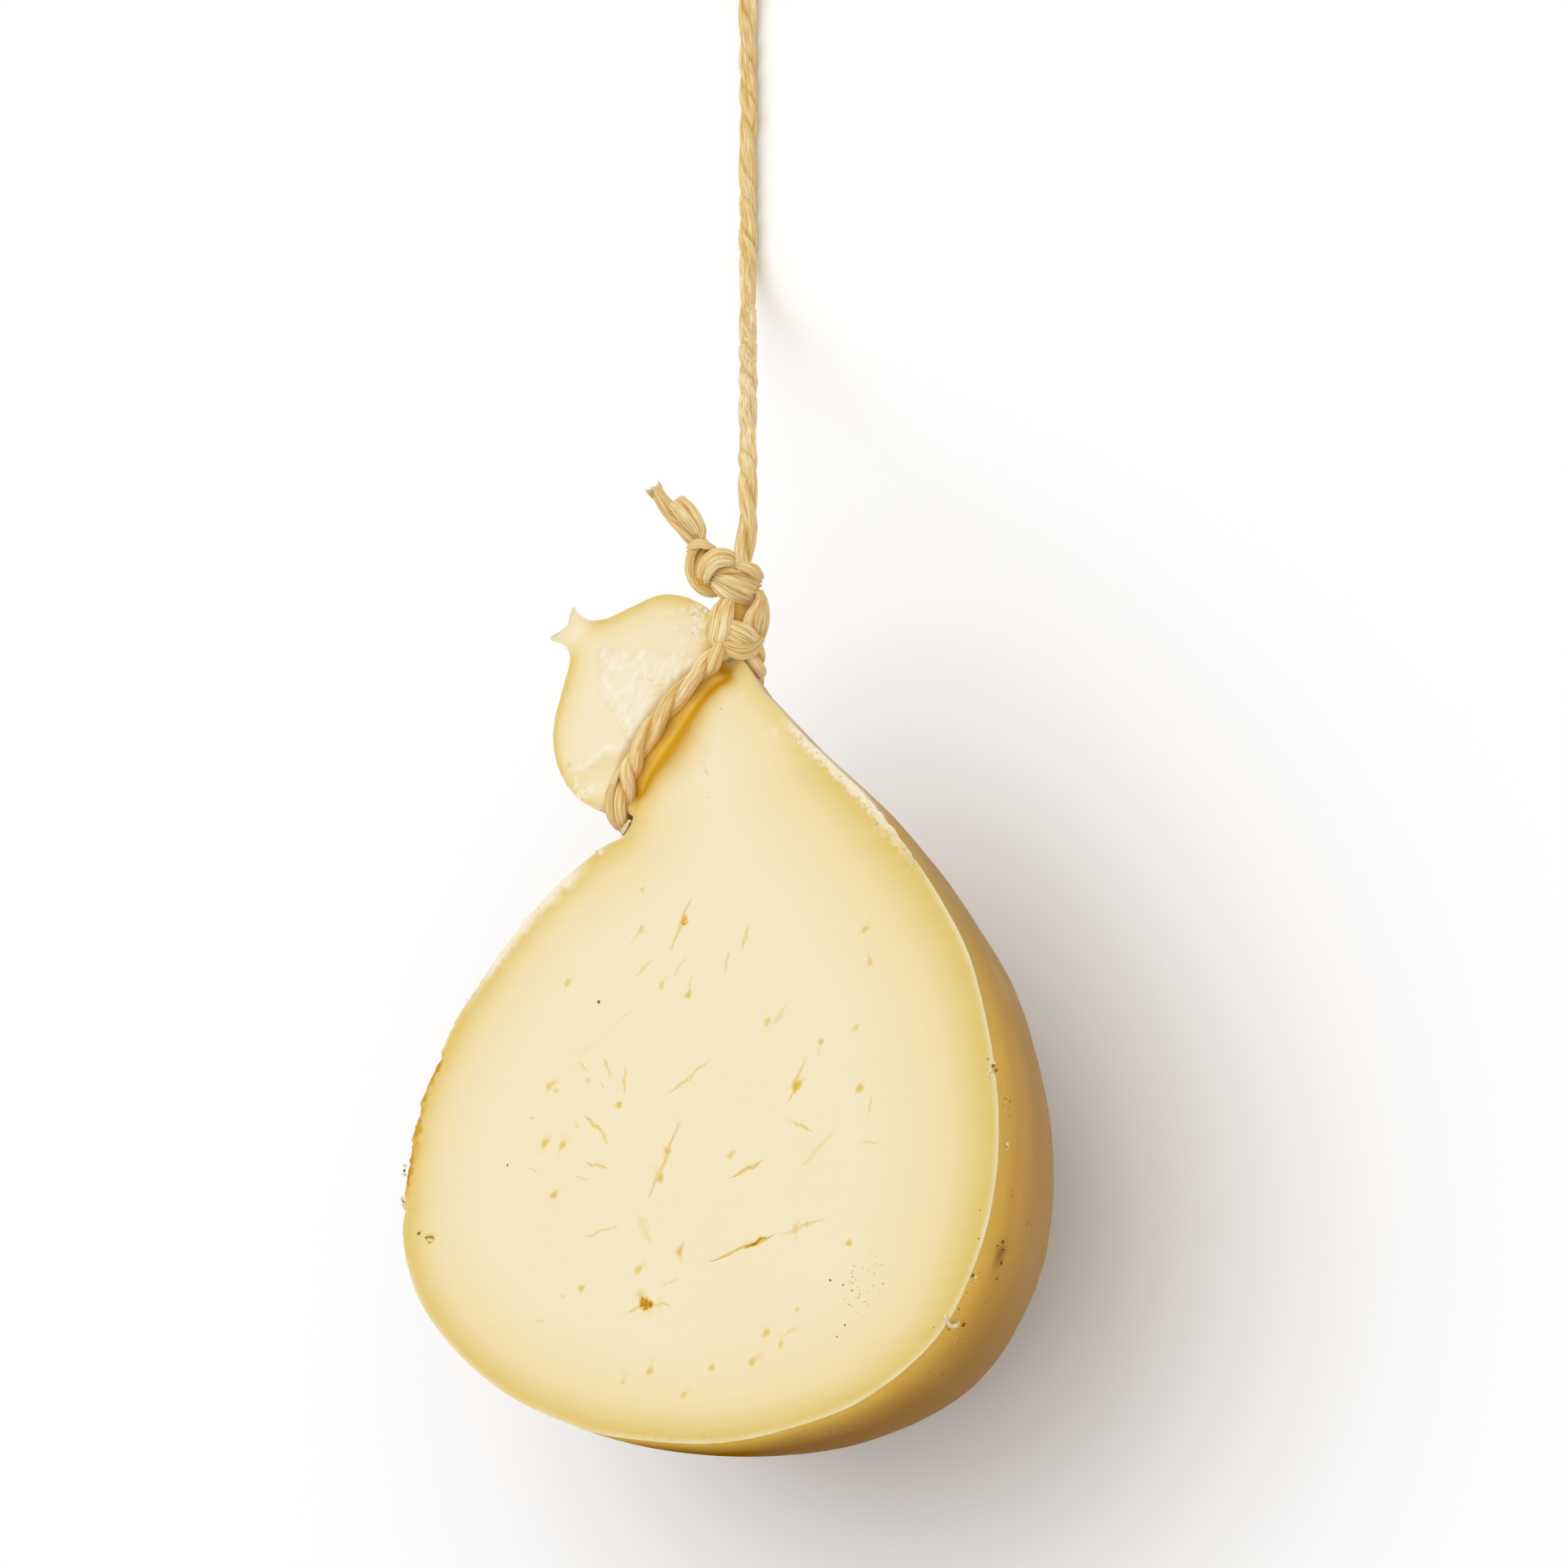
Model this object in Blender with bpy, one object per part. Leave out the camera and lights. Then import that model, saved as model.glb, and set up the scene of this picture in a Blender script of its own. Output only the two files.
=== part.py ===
"""Half a caciocavallo, cut lengthwise and laid on its round rind with the cut face up.

The cheese is one solid from the torn nipple of its folded head, past the neck, to the foot of its
belly. A two-ply twine is bound round the neck, tied in two knots beside it, and runs loose from
the upper knot down to the floor, where it ends in a knot and a small hanging loop.

X runs across the belly, Y runs from the belly's foot to the head, Z is up, and the floor is z = 0.
Constants are in metres. Lists of places are in millimetres, from the middle of the belly.
"""

import math

import bmesh
import bpy
from mathutils import Matrix, Vector

MM = 0.001
BELLY_Y = -0.0448

# Cheese, a turned pear shape cut through its axis, with a small flat where it rests
# It was cut a little off its axis: the half is deeper towards the neck, by this share per metre
CUT_HEIGHT = 0.0800
DEEPER_PER_METRE = 0.75
LEAST_DEPTH = 0.985
RIND_SQUARENESS = 2.08
RINGS_PER_STATION = 2
FACE_STRIPS = 10
RIND_STRIPS = 18
SMOOTH_ANGLE = math.radians(40)

# Both edges of the cut face, left x, left y, right x, right y, from the neck to the foot
BODY_EDGES = (
    (-19.9, 82.2, 12.7, 116.2),
    (-20.6, 81.7, 15.9, 112.6),
    (-21.3, 81.4, 20.5, 107.5),
    (-22.3, 81.1, 25.7, 101.3),
    (-24.3, 80.5, 30.6, 95.4),
    (-29.0, 78.2, 34.9, 90.8),
    (-38.2, 72.9, 41.4, 84.0),
    (-48.8, 64.5, 48.3, 76.2),
    (-60.0, 53.0, 57.0, 64.5),
    (-70.3, 39.9, 66.5, 49.4),
    (-77.8, 24.5, 74.5, 33.2),
    (-81.2, 6.0, 79.6, 13.0),
    (-80.6, -9.0, 81.6, -6.0),
    (-76.0, -22.3, 80.0, -24.0),
    (-66.0, -35.6, 74.5, -40.0),
    (-52.0, -48.0, 65.0, -54.0),
    (-36.0, -57.3, 50.0, -63.4),
    (-20.0, -63.7, 34.0, -67.9),
)
FOOT = (8.0, -69.3)

# Neck, a line across the cut face under the twine, where the face rolls down into a crease
NECK_MIDDLE = (-7.2, 103.3)
NECK_TURN = math.radians(48)
NECK_ALONG = Vector((math.cos(NECK_TURN), math.sin(NECK_TURN), 0))
NECK_OUT = Vector((-math.sin(NECK_TURN), math.cos(NECK_TURN), 0))
NECK_HALF_WIDTH = 0.0200
NECK_DEPTH = 0.0205
NECK_SINK = 0.0036
NECK_CORNER_DROP = 0.0032
NECK_SQUARENESS = 2.6
BODY_CREASE_SPREAD = 0.0036
HEAD_CREASE_SPREAD = 0.0010
CORNER_SPREAD = 0.0018

# The twine bends towards the head over the face and towards the body under it, and the neck with it
FACE_BEND = 0.0060
FACE_BEND_POWER = 3
RIND_BEND = 0.0040
BEND_REACH = 0.040

# Head, from the nipple down to the twine: height over the neck, left edge, right edge, depth
HEAD_EDGES = (
    (46.1, 1.2, 10.8, 1.3),
    (43.5, 2.0, 10.3, 2.4),
    (40.5, 1.8, 10.6, 3.8),
    (37.9, -0.4, 12.0, 6.0),
    (35.3, -6.0, 14.4, 9.6),
    (31.5, -13.8, 19.5, 15.0),
    (26.5, -19.2, 25.6, 20.5),
    (19.0, -23.2, 29.0, 25.2),
    (11.5, -24.4, 29.4, 26.4),
    (7.0, -23.9, 26.0, 25.0),
    (4.6, -22.8, 22.6, 23.0),
    (3.4, -21.8, 21.2, 21.8),
)

# Twine of two twisted plies
TWINE_DIAMETER = 0.0048
TOUCH_GAP = 0.0003
CHANNEL_HALF_WIDTH = TWINE_DIAMETER / 2 + TOUCH_GAP
LOOP_GAP = 0.0005
LOOP_STATIONS = 20
LOOP_STEPS = 3
LOOP_ANGLE_STEP = 0.05
LOOP_START = math.radians(58)
LOOP_END = math.radians(346)
LOOP_FRONT_END = (7.9, 118.7, 3.8)
LOOP_BACK_END = (14.1, 118.8, -5.3)

# Knots, laid out as they are seen, across, up and out, from this turn and tilt off upright
SEEN_TURN = math.radians(33)
SEEN_TILT = math.radians(21)
CORE_SIDES = 12
CORE_RINGS = 8
STRAND_STEPS = 3
KNOT_SMOOTH_ANGLE = math.radians(60)
LOWER_KNOT = (13.1, 125.4, 1.8)
LOWER_KNOT_CORE = (4.6, 5.0, 3.4)
LOWER_KNOT_STRANDS = (
    (
        2.2,
        (
            (-3.0, 8.0, -0.5), (-4.6, 4.8, 1.9), (-5.4, 1.8, 2.6),
            (-5.6, -1.2, 2.2), (-4.4, -3.4, 0.8),
        ),
    ),
    (
        2.0,
        ((-5.6, 0.4, 0.8), (-2.6, 0.8, 3.0), (1.2, 0.2, 3.6), (4.0, -1.4, 2.9), (5.6, -3.2, 0.6)),
    ),
    (
        2.2,
        (
            (-5.4, -1.8, 0.8), (-3.0, -4.0, 2.6), (0.4, -5.2, 3.0),
            (3.4, -5.0, 2.2), (5.4, -3.4, 0.2),
        ),
    ),
    (1.9, ((4.6, 8.6, -1.0), (6.1, 5.8, 0.4), (6.4, 3.0, 0.9), (5.8, 0.4, 0.6), (4.6, -2.0, -0.6))),
    (2.2, ((4.5, 6.0, -2.2), (0.4, 3.4, -3.2), (-3.6, 1.4, -3.0), (-5.4, -1.6, -1.0))),
    (2.2, ((5.4, -2.0, -1.2), (2.0, -3.6, -3.0), (-2.0, -3.0, -3.2), (-5.2, 0.4, -2.0))),
    (2.6, ((1.0, 2.0, -0.8), (0.4, 6.0, -0.8), (-0.6, 9.5, -1.2))),
)
UPPER_KNOT = (11.6, 138.8, 5.5)
UPPER_KNOT_CORE = (5.6, 4.6, 3.6)
UPPER_KNOT_STRANDS = (
    (
        2.3,
        (
            (5.6, 1.4, 0.4), (2.6, 3.2, 2.6), (-0.9, 3.7, 3.4),
            (-3.8, 2.1, 3.1), (-4.6, -0.4, 2.4), (-2.8, -2.2, 0.9),
        ),
    ),
    (
        1.7,
        (
            (-4.8, 6.8, 0.8), (-6.8, 3.9, 1.0), (-7.2, 0.9, 0.6),
            (-6.4, -1.9, 0.2), (-4.2, -3.9, -0.2), (-0.6, -4.4, -0.6),
        ),
    ),
    (1.9, ((-2.4, -0.8, 1.2), (1.2, -0.2, 2.9), (4.5, -0.4, 2.8), (7.6, -1.0, 0.9))),
    (
        2.4,
        (
            (-2.2, -2.4, 0.8), (0.4, -4.2, 2.3), (3.2, -6.0, 2.2),
            (5.8, -5.6, 0.8), (6.6, -3.0, -1.0),
        ),
    ),
    (
        2.2,
        (
            (7.0, -1.2, -1.2), (3.6, 1.4, -3.0), (-0.6, 2.4, -3.2),
            (-4.4, 0.8, -2.4), (-5.6, -2.0, -1.0),
        ),
    ),
    (2.2, ((5.4, -5.0, -1.6), (1.4, -3.0, -3.2), (-2.6, -0.4, -3.2), (-4.6, 3.6, -1.6))),
    (2.3, ((5.0, -1.0, 0.2), (5.6, 3.0, 0.4), (5.7, 6.5, -0.6), (5.7, 10.1, -2.4))),
)
TAIL_PLIES = (
    (
        1.9,
        (
            (-2.6, 4.0, 0.4), (-4.9, 8.2, 1.2), (-6.6, 11.8, 1.4),
            (-8.2, 14.7, 1.2), (-9.7, 16.6, 0.8),
        ),
    ),
    (
        1.6,
        (
            (-4.0, 4.0, -0.6), (-8.0, 9.0, -0.6), (-10.6, 13.1, -1.0),
            (-13.1, 16.6, -1.2), (-15.6, 19.9, -1.4),
        ),
    ),
)

# Loose twine, out of the upper knot, down to the floor and along it
TWINE_ROUTE = (
    (17.5, 149.5, 83.9),
    (17.2, 156.1, 83.5),
    (15.7, 163.9, 81.3),
    (12.4, 173.2, 76.3),
    (7.1, 183.8, 68.3),
    (0.2, 195.5, 57.8),
    (-8.3, 208.8, 44.8),
    (-16.9, 221.9, 31.8),
    (-24.8, 234.7, 19.8),
    (-30.7, 246.3, 10.9),
    (-34.4, 256.6, 5.3),
    (-36.0, 265.9, 2.9),
    (-36.3, 274.6, 2.4),
    (-36.3, 284.4, 2.4),
    (-36.6, 294.7, 2.4),
    (-36.1, 305.0, 2.4),
    (-36.4, 315.4, 2.4),
    (-36.4, 325.8, 2.4),
    (-36.5, 336.3, 2.4),
    (-36.5, 345.7, 2.4),
)
STEPS_PER_ROUTE_POINT = 2

# Hanging loop at the twine's end, tied with a knot and lying on the floor
END_KNOT_MIDDLE = (-36.8, 351.0, 4.2)
END_KNOT_CORE = (0.0052, 0.0050, 0.0036)
END_KNOT_WRAPS = ((-1.7, 14), (1.7, -14))
END_KNOT_WRAP_SIZE = (0.0040, 0.0022)
END_KNOT_WRAP_THICKNESS = 0.0018
WRAP_STEPS = 20
WRAP_SIDES = 8
STUB_LEVEL = 0.0018
END_LOOP_LENGTH = 0.032
END_LOOP_WIDTH = 0.018
END_LOOP_APART = 0.0050
END_LOOP_POINTS = 28


def placed(x, y, z):
    """A place given in millimetres from the belly's middle and up from the floor, in the frame's metres."""
    return Vector((x * MM, y * MM + BELLY_Y, z * MM))


def on_face(x, y):
    return Vector((x * MM, y * MM + BELLY_Y, CUT_HEIGHT))


def over_face(x, y, height):
    return on_face(x, y) + Vector((0, 0, height * MM))


def by_neck(along, out):
    """A place on the cut face, so far along the neck's line and out from it towards the head."""
    return on_face(*NECK_MIDDLE) + NECK_ALONG * along + NECK_OUT * out


def curve_through(points, steps, before=None, after=None):
    """A smooth curve through the points, as a list with so many steps in each gap."""
    points = [Vector(point) for point in points]
    before = before or 2 * points[0] - points[1]
    after = after or 2 * points[-1] - points[-2]
    padded = [before] + points + [after]
    curve = []
    for start in range(len(points) - 1):
        first, second, third, fourth = padded[start : start + 4]
        for step in range(steps):
            t = step / steps
            linear = (third - first) * t
            square = (2 * first - 5 * second + 4 * third - fourth) * t**2
            cube = (3 * second - first - 3 * third + fourth) * t**3
            curve.append((2 * second + linear + square + cube) / 2)
    curve.append(points[-1])
    return curve


def clear_scene():
    for obj in list(bpy.data.objects):
        bpy.data.objects.remove(obj)


def new_collection(name, parent):
    collection = bpy.data.collections.new(name)
    parent.children.link(collection)
    return collection


def new_material(name, colour, roughness):
    material = bpy.data.materials.new(name)
    material.use_nodes = True
    shader = material.node_tree.nodes["Principled BSDF"]
    shader.inputs["Base Color"].default_value = (*colour, 1)
    shader.inputs["Roughness"].default_value = roughness
    return material


def new_object(name, mesh, collection, material):
    obj = bpy.data.objects.new(name, mesh)
    collection.objects.link(obj)
    mesh.materials.append(material)
    return obj


def adopt(obj, collection):
    """Moves a new primitive into the collection."""
    for owner in list(obj.users_collection):
        owner.objects.unlink(obj)
    collection.objects.link(obj)
    return obj


def face_bend(across):
    """How far the twine's line over the cut face bends towards the head, across being -1 to 1."""
    return FACE_BEND * max(0.0, 1 - abs(across) ** FACE_BEND_POWER)


def edge_drop(across):
    """How far a rounded edge has dropped, from 0 at the middle to 1 at the edge, across being -1 to 1."""
    within = max(0.0, 1 - abs(across) ** NECK_SQUARENESS)
    return 1 - within ** (1 / NECK_SQUARENESS)


def rind_round(angle):
    """Where the rind's section is at an angle below the right edge: across, -1 to 1, and down, 0 to 1."""
    across = math.copysign(abs(math.cos(angle)) ** (2 / RIND_SQUARENESS), math.cos(angle))
    return across, abs(math.sin(angle)) ** (2 / RIND_SQUARENESS)


def falloff(distance, spread):
    return math.exp(-((max(0.0, distance) / spread) ** 2))


def face_sink(point, across, crease_spread):
    """How far the cut face lies under its plane, where it rolls down into the crease at the neck."""
    from_middle = point - by_neck(0, 0)
    along = from_middle.dot(NECK_ALONG)
    out = from_middle.dot(NECK_OUT) - face_bend(along / NECK_HALF_WIDTH)
    along = max(0.0, abs(along) - NECK_HALF_WIDTH - CHANNEL_HALF_WIDTH)
    distance = math.hypot(along, out) - CHANNEL_HALF_WIDTH
    sink = NECK_SINK * falloff(distance, crease_spread)
    return sink + NECK_CORNER_DROP * edge_drop(across) * falloff(distance, CORNER_SPREAD)


def bend_share(middle):
    """How much of the twine's bend a ring of the cheese takes: all of it in the neck, none far off."""
    away = max(0.0, abs((middle - by_neck(0, 0)).dot(NECK_OUT)) - CHANNEL_HALF_WIDTH)
    return max(0.0, 1 - away / BEND_REACH)


def ring(left, right, depth, crease_spread):
    """One closed ring of the cheese: over the cut face from left to right, and back round the rind."""
    middle = (left + right) / 2
    half = (right - left) / 2
    bent = bend_share(middle)
    points = []
    for strip in range(FACE_STRIPS + 1):
        across = -math.cos(math.pi * strip / FACE_STRIPS)
        point = middle + half * across + NECK_OUT * face_bend(across) * bent
        point.z = CUT_HEIGHT - face_sink(point, across, crease_spread)
        points.append(point)
    left_edge, right_edge = points[0].z, points[-1].z
    for strip in range(1, RIND_STRIPS):
        across, down = rind_round(math.pi * strip / RIND_STRIPS)
        point = middle + half * across - NECK_OUT * RIND_BEND * down * bent
        edge = (left_edge + right_edge) / 2 + (right_edge - left_edge) / 2 * across
        point.z = edge - (edge - CUT_HEIGHT + depth) * down
        points.append(point)
    return points


def head_rings():
    edges = [Vector(station[1:]) * MM for station in HEAD_EDGES]
    heights = [Vector((station[0] * MM, 0, 0)) for station in HEAD_EDGES]
    rings = []
    smooth_edges = curve_through(edges, RINGS_PER_STATION)
    smooth_heights = curve_through(heights, RINGS_PER_STATION)
    for edge, height in zip(smooth_edges, smooth_heights):
        left, right = by_neck(edge.x, height.x), by_neck(edge.y, height.x)
        rings.append(ring(left, right, edge.z, HEAD_CREASE_SPREAD))
    return rings


def neck_rings():
    rings = []
    for out in (CHANNEL_HALF_WIDTH, -CHANNEL_HALF_WIDTH):
        left, right = by_neck(-NECK_HALF_WIDTH, out), by_neck(NECK_HALF_WIDTH, out)
        rings.append(ring(left, right, NECK_DEPTH, HEAD_CREASE_SPREAD))
    return rings


def body_rings():
    lefts = [on_face(*station[:2]) for station in BODY_EDGES]
    rights = [on_face(*station[2:]) for station in BODY_EDGES]
    foot = on_face(*FOOT)
    left_curve = curve_through(lefts + [foot], RINGS_PER_STATION, after=rights[-1])
    right_curve = curve_through(rights + [foot], RINGS_PER_STATION, after=lefts[-1])
    rings = []
    for left, right in zip(left_curve[:-1], right_curve[:-1]):
        share = max(LEAST_DEPTH, 1 + DEEPER_PER_METRE * ((left.y + right.y) / 2 - BELLY_Y))
        rings.append(ring(left, right, (right - left).length / 2 * share, BODY_CREASE_SPREAD))
    return rings


def make_cheese(collection, material):
    mesh = bmesh.new()
    rings = head_rings() + neck_rings() + body_rings()
    rows = [[mesh.verts.new(point) for point in points] for points in rings]
    count = len(rows[0])
    mesh.faces.new(rows[0])
    for row, next_row in zip(rows, rows[1:]):
        for index in range(count):
            after = (index + 1) % count
            mesh.faces.new((row[index], next_row[index], next_row[after], row[after]))
    foot = mesh.verts.new(on_face(*FOOT))
    for index in range(count):
        mesh.faces.new((rows[-1][index], foot, rows[-1][(index + 1) % count]))
    bmesh.ops.bisect_plane(
        mesh,
        geom=mesh.verts[:] + mesh.edges[:] + mesh.faces[:],
        plane_co=(0, 0, 0),
        plane_no=(0, 0, -1),
        clear_outer=True,
    )
    bmesh.ops.holes_fill(mesh, edges=[edge for edge in mesh.edges if edge.is_boundary])
    bmesh.ops.triangulate(mesh, faces=[face for face in mesh.faces if len(face.verts) > 4])
    bmesh.ops.recalc_face_normals(mesh, faces=mesh.faces)
    data = bpy.data.meshes.new("cheese")
    mesh.to_mesh(data)
    mesh.free()
    data.shade_smooth()
    data.set_sharp_from_angle(angle=SMOOTH_ANGLE)
    return new_object("cheese", data, collection, material)


def make_tube(name, points, radius, collection, material, resolution=2):
    curve = bpy.data.curves.new(name, "CURVE")
    curve.dimensions = "3D"
    curve.bevel_depth = radius
    curve.bevel_resolution = resolution
    curve.use_fill_caps = True
    spline = curve.splines.new("POLY")
    spline.points.add(len(points) - 1)
    for spot, point in zip(spline.points, points):
        spot.co = (*point, 1)
    spline.use_smooth = True
    return new_object(name, curve, collection, material)


def as_mesh(obj):
    """The same tube as a closed mesh object, which a Boolean can take."""
    bpy.context.view_layer.update()
    graph = bpy.context.evaluated_depsgraph_get()
    mesh = bpy.data.meshes.new_from_object(obj.evaluated_get(graph))
    welded = bmesh.new()
    welded.from_mesh(mesh)
    bmesh.ops.remove_doubles(welded, verts=welded.verts, dist=MM / 100)
    bmesh.ops.recalc_face_normals(welded, faces=welded.faces)
    welded.to_mesh(mesh)
    welded.free()
    name, collection, place = obj.name, obj.users_collection[0], obj.matrix_world.copy()
    bpy.data.objects.remove(obj)
    made = bpy.data.objects.new(name, mesh)
    made.matrix_world = place
    collection.objects.link(made)
    return made


def fuse(name, pieces, collection, material):
    """One solid from all the pieces, which are removed."""
    base = pieces[0]
    others = bpy.data.collections.new(name + " pieces")
    for piece in pieces[1:]:
        others.objects.link(piece)
    union = base.modifiers.new("Union", "BOOLEAN")
    union.operation = "UNION"
    union.operand_type = "COLLECTION"
    union.collection = others
    union.solver = "EXACT"
    bpy.context.view_layer.update()
    graph = bpy.context.evaluated_depsgraph_get()
    mesh = bpy.data.meshes.new_from_object(base.evaluated_get(graph))
    for piece in pieces:
        bpy.data.objects.remove(piece)
    bpy.data.collections.remove(others)
    mesh.materials.clear()
    mesh.shade_smooth()
    mesh.set_sharp_from_angle(angle=KNOT_SMOOTH_ANGLE)
    return new_object(name, mesh, collection, material)


def neck_section(angle):
    """A place on the neck's rounded section, as metres along the neck's line and height."""
    if math.sin(angle) >= 0:
        height = CUT_HEIGHT - NECK_SINK - NECK_CORNER_DROP * edge_drop(math.cos(angle))
        return Vector((NECK_HALF_WIDTH * math.cos(angle), height))
    across, down = rind_round(angle)
    edge = CUT_HEIGHT - NECK_SINK - NECK_CORNER_DROP
    return Vector((NECK_HALF_WIDTH * across, edge - (edge - CUT_HEIGHT + NECK_DEPTH) * down))


def loop_points():
    """The twine's middle round the neck, over the cut face, round the left and back under the neck."""
    clear = TWINE_DIAMETER / 2 + LOOP_GAP
    points = [over_face(*LOOP_FRONT_END)]
    for step in range(LOOP_STATIONS):
        angle = LOOP_START + (LOOP_END - LOOP_START) * step / (LOOP_STATIONS - 1)
        here = neck_section(angle)
        way = neck_section(angle + LOOP_ANGLE_STEP) - neck_section(angle - LOOP_ANGLE_STEP)
        here += Vector((way.y, -way.x)).normalized() * clear
        bend = face_bend(math.cos(angle)) if math.sin(angle) > 0 else RIND_BEND * math.sin(angle)
        point = by_neck(here.x, bend)
        point.z = here.y
        points.append(point)
    points.append(over_face(*LOOP_BACK_END))
    return curve_through(points, LOOP_STEPS)


def facing():
    """The knots' own axes in the frame: across, up and out."""
    turn, tilt = SEEN_TURN, SEEN_TILT
    across = Vector((math.cos(turn), 0, -math.sin(turn)))
    up = Vector((math.sin(turn) * math.sin(tilt), math.cos(tilt), math.cos(turn) * math.sin(tilt)))
    return Matrix((across, up, across.cross(up))).transposed()


def knot_pieces(name, middle, core, strands, collection, material):
    axes = facing()
    centre = over_face(*middle)
    pieces = []
    if core:
        bpy.ops.mesh.primitive_uv_sphere_add(segments=CORE_SIDES, ring_count=CORE_RINGS, radius=1)
        ball = adopt(bpy.context.object, collection)
        ball.data.transform(axes.to_4x4() @ Matrix.Diagonal((*(size * MM for size in core), 1)))
        ball.data.transform(Matrix.Translation(centre))
        pieces.append(ball)
    for number, (radius, places) in enumerate(strands):
        path = curve_through([centre + axes @ Vector(place) * MM for place in places], STRAND_STEPS)
        tube = make_tube(f"{name} strand {number}", path, radius * MM, collection, material)
        pieces.append(as_mesh(tube))
    return pieces


def make_knots(collection, material):
    pieces = knot_pieces("lower", LOWER_KNOT, LOWER_KNOT_CORE, LOWER_KNOT_STRANDS, collection, material)
    pieces += knot_pieces("upper", UPPER_KNOT, UPPER_KNOT_CORE, UPPER_KNOT_STRANDS, collection, material)
    pieces += knot_pieces("tail", UPPER_KNOT, None, TAIL_PLIES, collection, material)
    return fuse("knots", pieces, collection, material)


def make_hanging_twine(collection, material):
    path = curve_through([placed(*place) for place in TWINE_ROUTE], STEPS_PER_ROUTE_POINT)
    make_tube("hanging_twine", path, TWINE_DIAMETER / 2, collection, material)


def end_loop_path(knot):
    """A round loop that leaves the knot and comes back beside itself, flat on the floor."""
    start = math.asin(END_LOOP_APART / END_LOOP_WIDTH)
    points = []
    for step in range(END_LOOP_POINTS + 1):
        angle = start + 2 * (math.pi - start) * step / END_LOOP_POINTS
        side = END_LOOP_WIDTH / 2 * math.sin(angle)
        away = END_LOOP_LENGTH * (1 - math.cos(angle)) / 2
        points.append(Vector((knot.x + side, knot.y + away, TWINE_DIAMETER / 2 + TOUCH_GAP)))
    return points


def make_end_loop(collection, material):
    knot = placed(*END_KNOT_MIDDLE)
    bpy.ops.mesh.primitive_uv_sphere_add(segments=CORE_SIDES, ring_count=CORE_RINGS, radius=1)
    core = adopt(bpy.context.object, collection)
    core.data.transform(Matrix.Translation(knot) @ Matrix.Diagonal((*END_KNOT_CORE, 1)))
    pieces = [core]
    wide, high = END_KNOT_WRAP_SIZE
    for along, lean in END_KNOT_WRAPS:
        bpy.ops.mesh.primitive_torus_add(
            major_segments=WRAP_STEPS,
            minor_segments=WRAP_SIDES,
            major_radius=1,
            minor_radius=END_KNOT_WRAP_THICKNESS / wide,
        )
        wrap = adopt(bpy.context.object, collection)
        wrap.data.transform(Matrix.Diagonal((wide, high, wide, 1)))
        wrap.data.transform(Matrix.Rotation(math.radians(90 + lean), 4, "X"))
        wrap.data.transform(Matrix.Translation(knot + Vector((0, along * MM, 0))))
        pieces.append(wrap)
    end = placed(*TWINE_ROUTE[-1])
    stub_path = [end + Vector((0, TOUCH_GAP, 0)), end + Vector((0, STUB_LEVEL, 0)), knot]
    for name, path in (("stub", stub_path), ("loop", end_loop_path(knot))):
        pieces.append(as_mesh(make_tube(name, path, TWINE_DIAMETER / 2, collection, material)))
    fuse("end_loop", pieces, collection, material)


def main():
    clear_scene()
    whole = new_collection("caciocavallo half", bpy.context.scene.collection)
    paste = new_material("cheese paste", (0.86, 0.74, 0.42), 0.45)
    raffia = new_material("paper raffia", (0.80, 0.64, 0.36), 0.75)
    make_cheese(whole, paste)
    make_tube("neck_loop", loop_points(), TWINE_DIAMETER / 2, whole, raffia)
    make_knots(whole, raffia)
    make_hanging_twine(whole, raffia)
    make_end_loop(whole, raffia)


main()
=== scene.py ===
"""The looks of half a caciocavallo: its cut paste, its rind, its torn nipple and its raffia twine.

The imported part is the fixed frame, in metres: X across the belly, Y from the foot to the head, Z up
out of the cut face. Places in the tables are in millimetres from the belly's middle.
"""

import math
import random

import bpy
import numpy as np
from mathutils import Matrix, Vector, geometry, noise


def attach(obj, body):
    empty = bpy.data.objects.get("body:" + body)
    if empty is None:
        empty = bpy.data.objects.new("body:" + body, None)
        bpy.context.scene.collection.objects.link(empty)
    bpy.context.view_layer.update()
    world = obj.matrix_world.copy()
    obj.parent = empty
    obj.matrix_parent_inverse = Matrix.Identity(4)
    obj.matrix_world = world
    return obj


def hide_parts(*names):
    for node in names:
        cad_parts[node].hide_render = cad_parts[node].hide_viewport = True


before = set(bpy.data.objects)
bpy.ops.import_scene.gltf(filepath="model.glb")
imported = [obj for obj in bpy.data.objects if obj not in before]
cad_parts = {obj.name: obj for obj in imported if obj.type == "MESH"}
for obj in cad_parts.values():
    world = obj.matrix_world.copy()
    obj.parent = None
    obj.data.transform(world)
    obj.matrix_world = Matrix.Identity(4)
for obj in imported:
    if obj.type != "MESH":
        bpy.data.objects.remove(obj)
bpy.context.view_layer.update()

# The photograph's view. The half can't stand unheld, so it lies on its rind, and the camera looks
# down on the cut face: 33 degrees to the right of the face's normal and 21 degrees below it.

view_turn = math.radians(33)
view_tilt = math.radians(21)
view_distance = 1.6
view_width = 0.3613
view_middle = Vector((0.025, 0.0402, 0.080))

seen_across = Vector((math.cos(view_turn), 0, -math.sin(view_turn)))
seen_up = Vector(
    (
        math.sin(view_turn) * math.sin(view_tilt),
        math.cos(view_tilt),
        math.cos(view_turn) * math.sin(view_tilt),
    )
)
seen_out = seen_across.cross(seen_up)
seen_axes = Matrix((seen_across, seen_up, seen_out)).transposed()


def in_scene(name, data):
    """A new object with this data, in the scene."""
    made = bpy.data.objects.new(name, data)
    bpy.context.scene.collection.objects.link(made)
    return made


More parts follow.
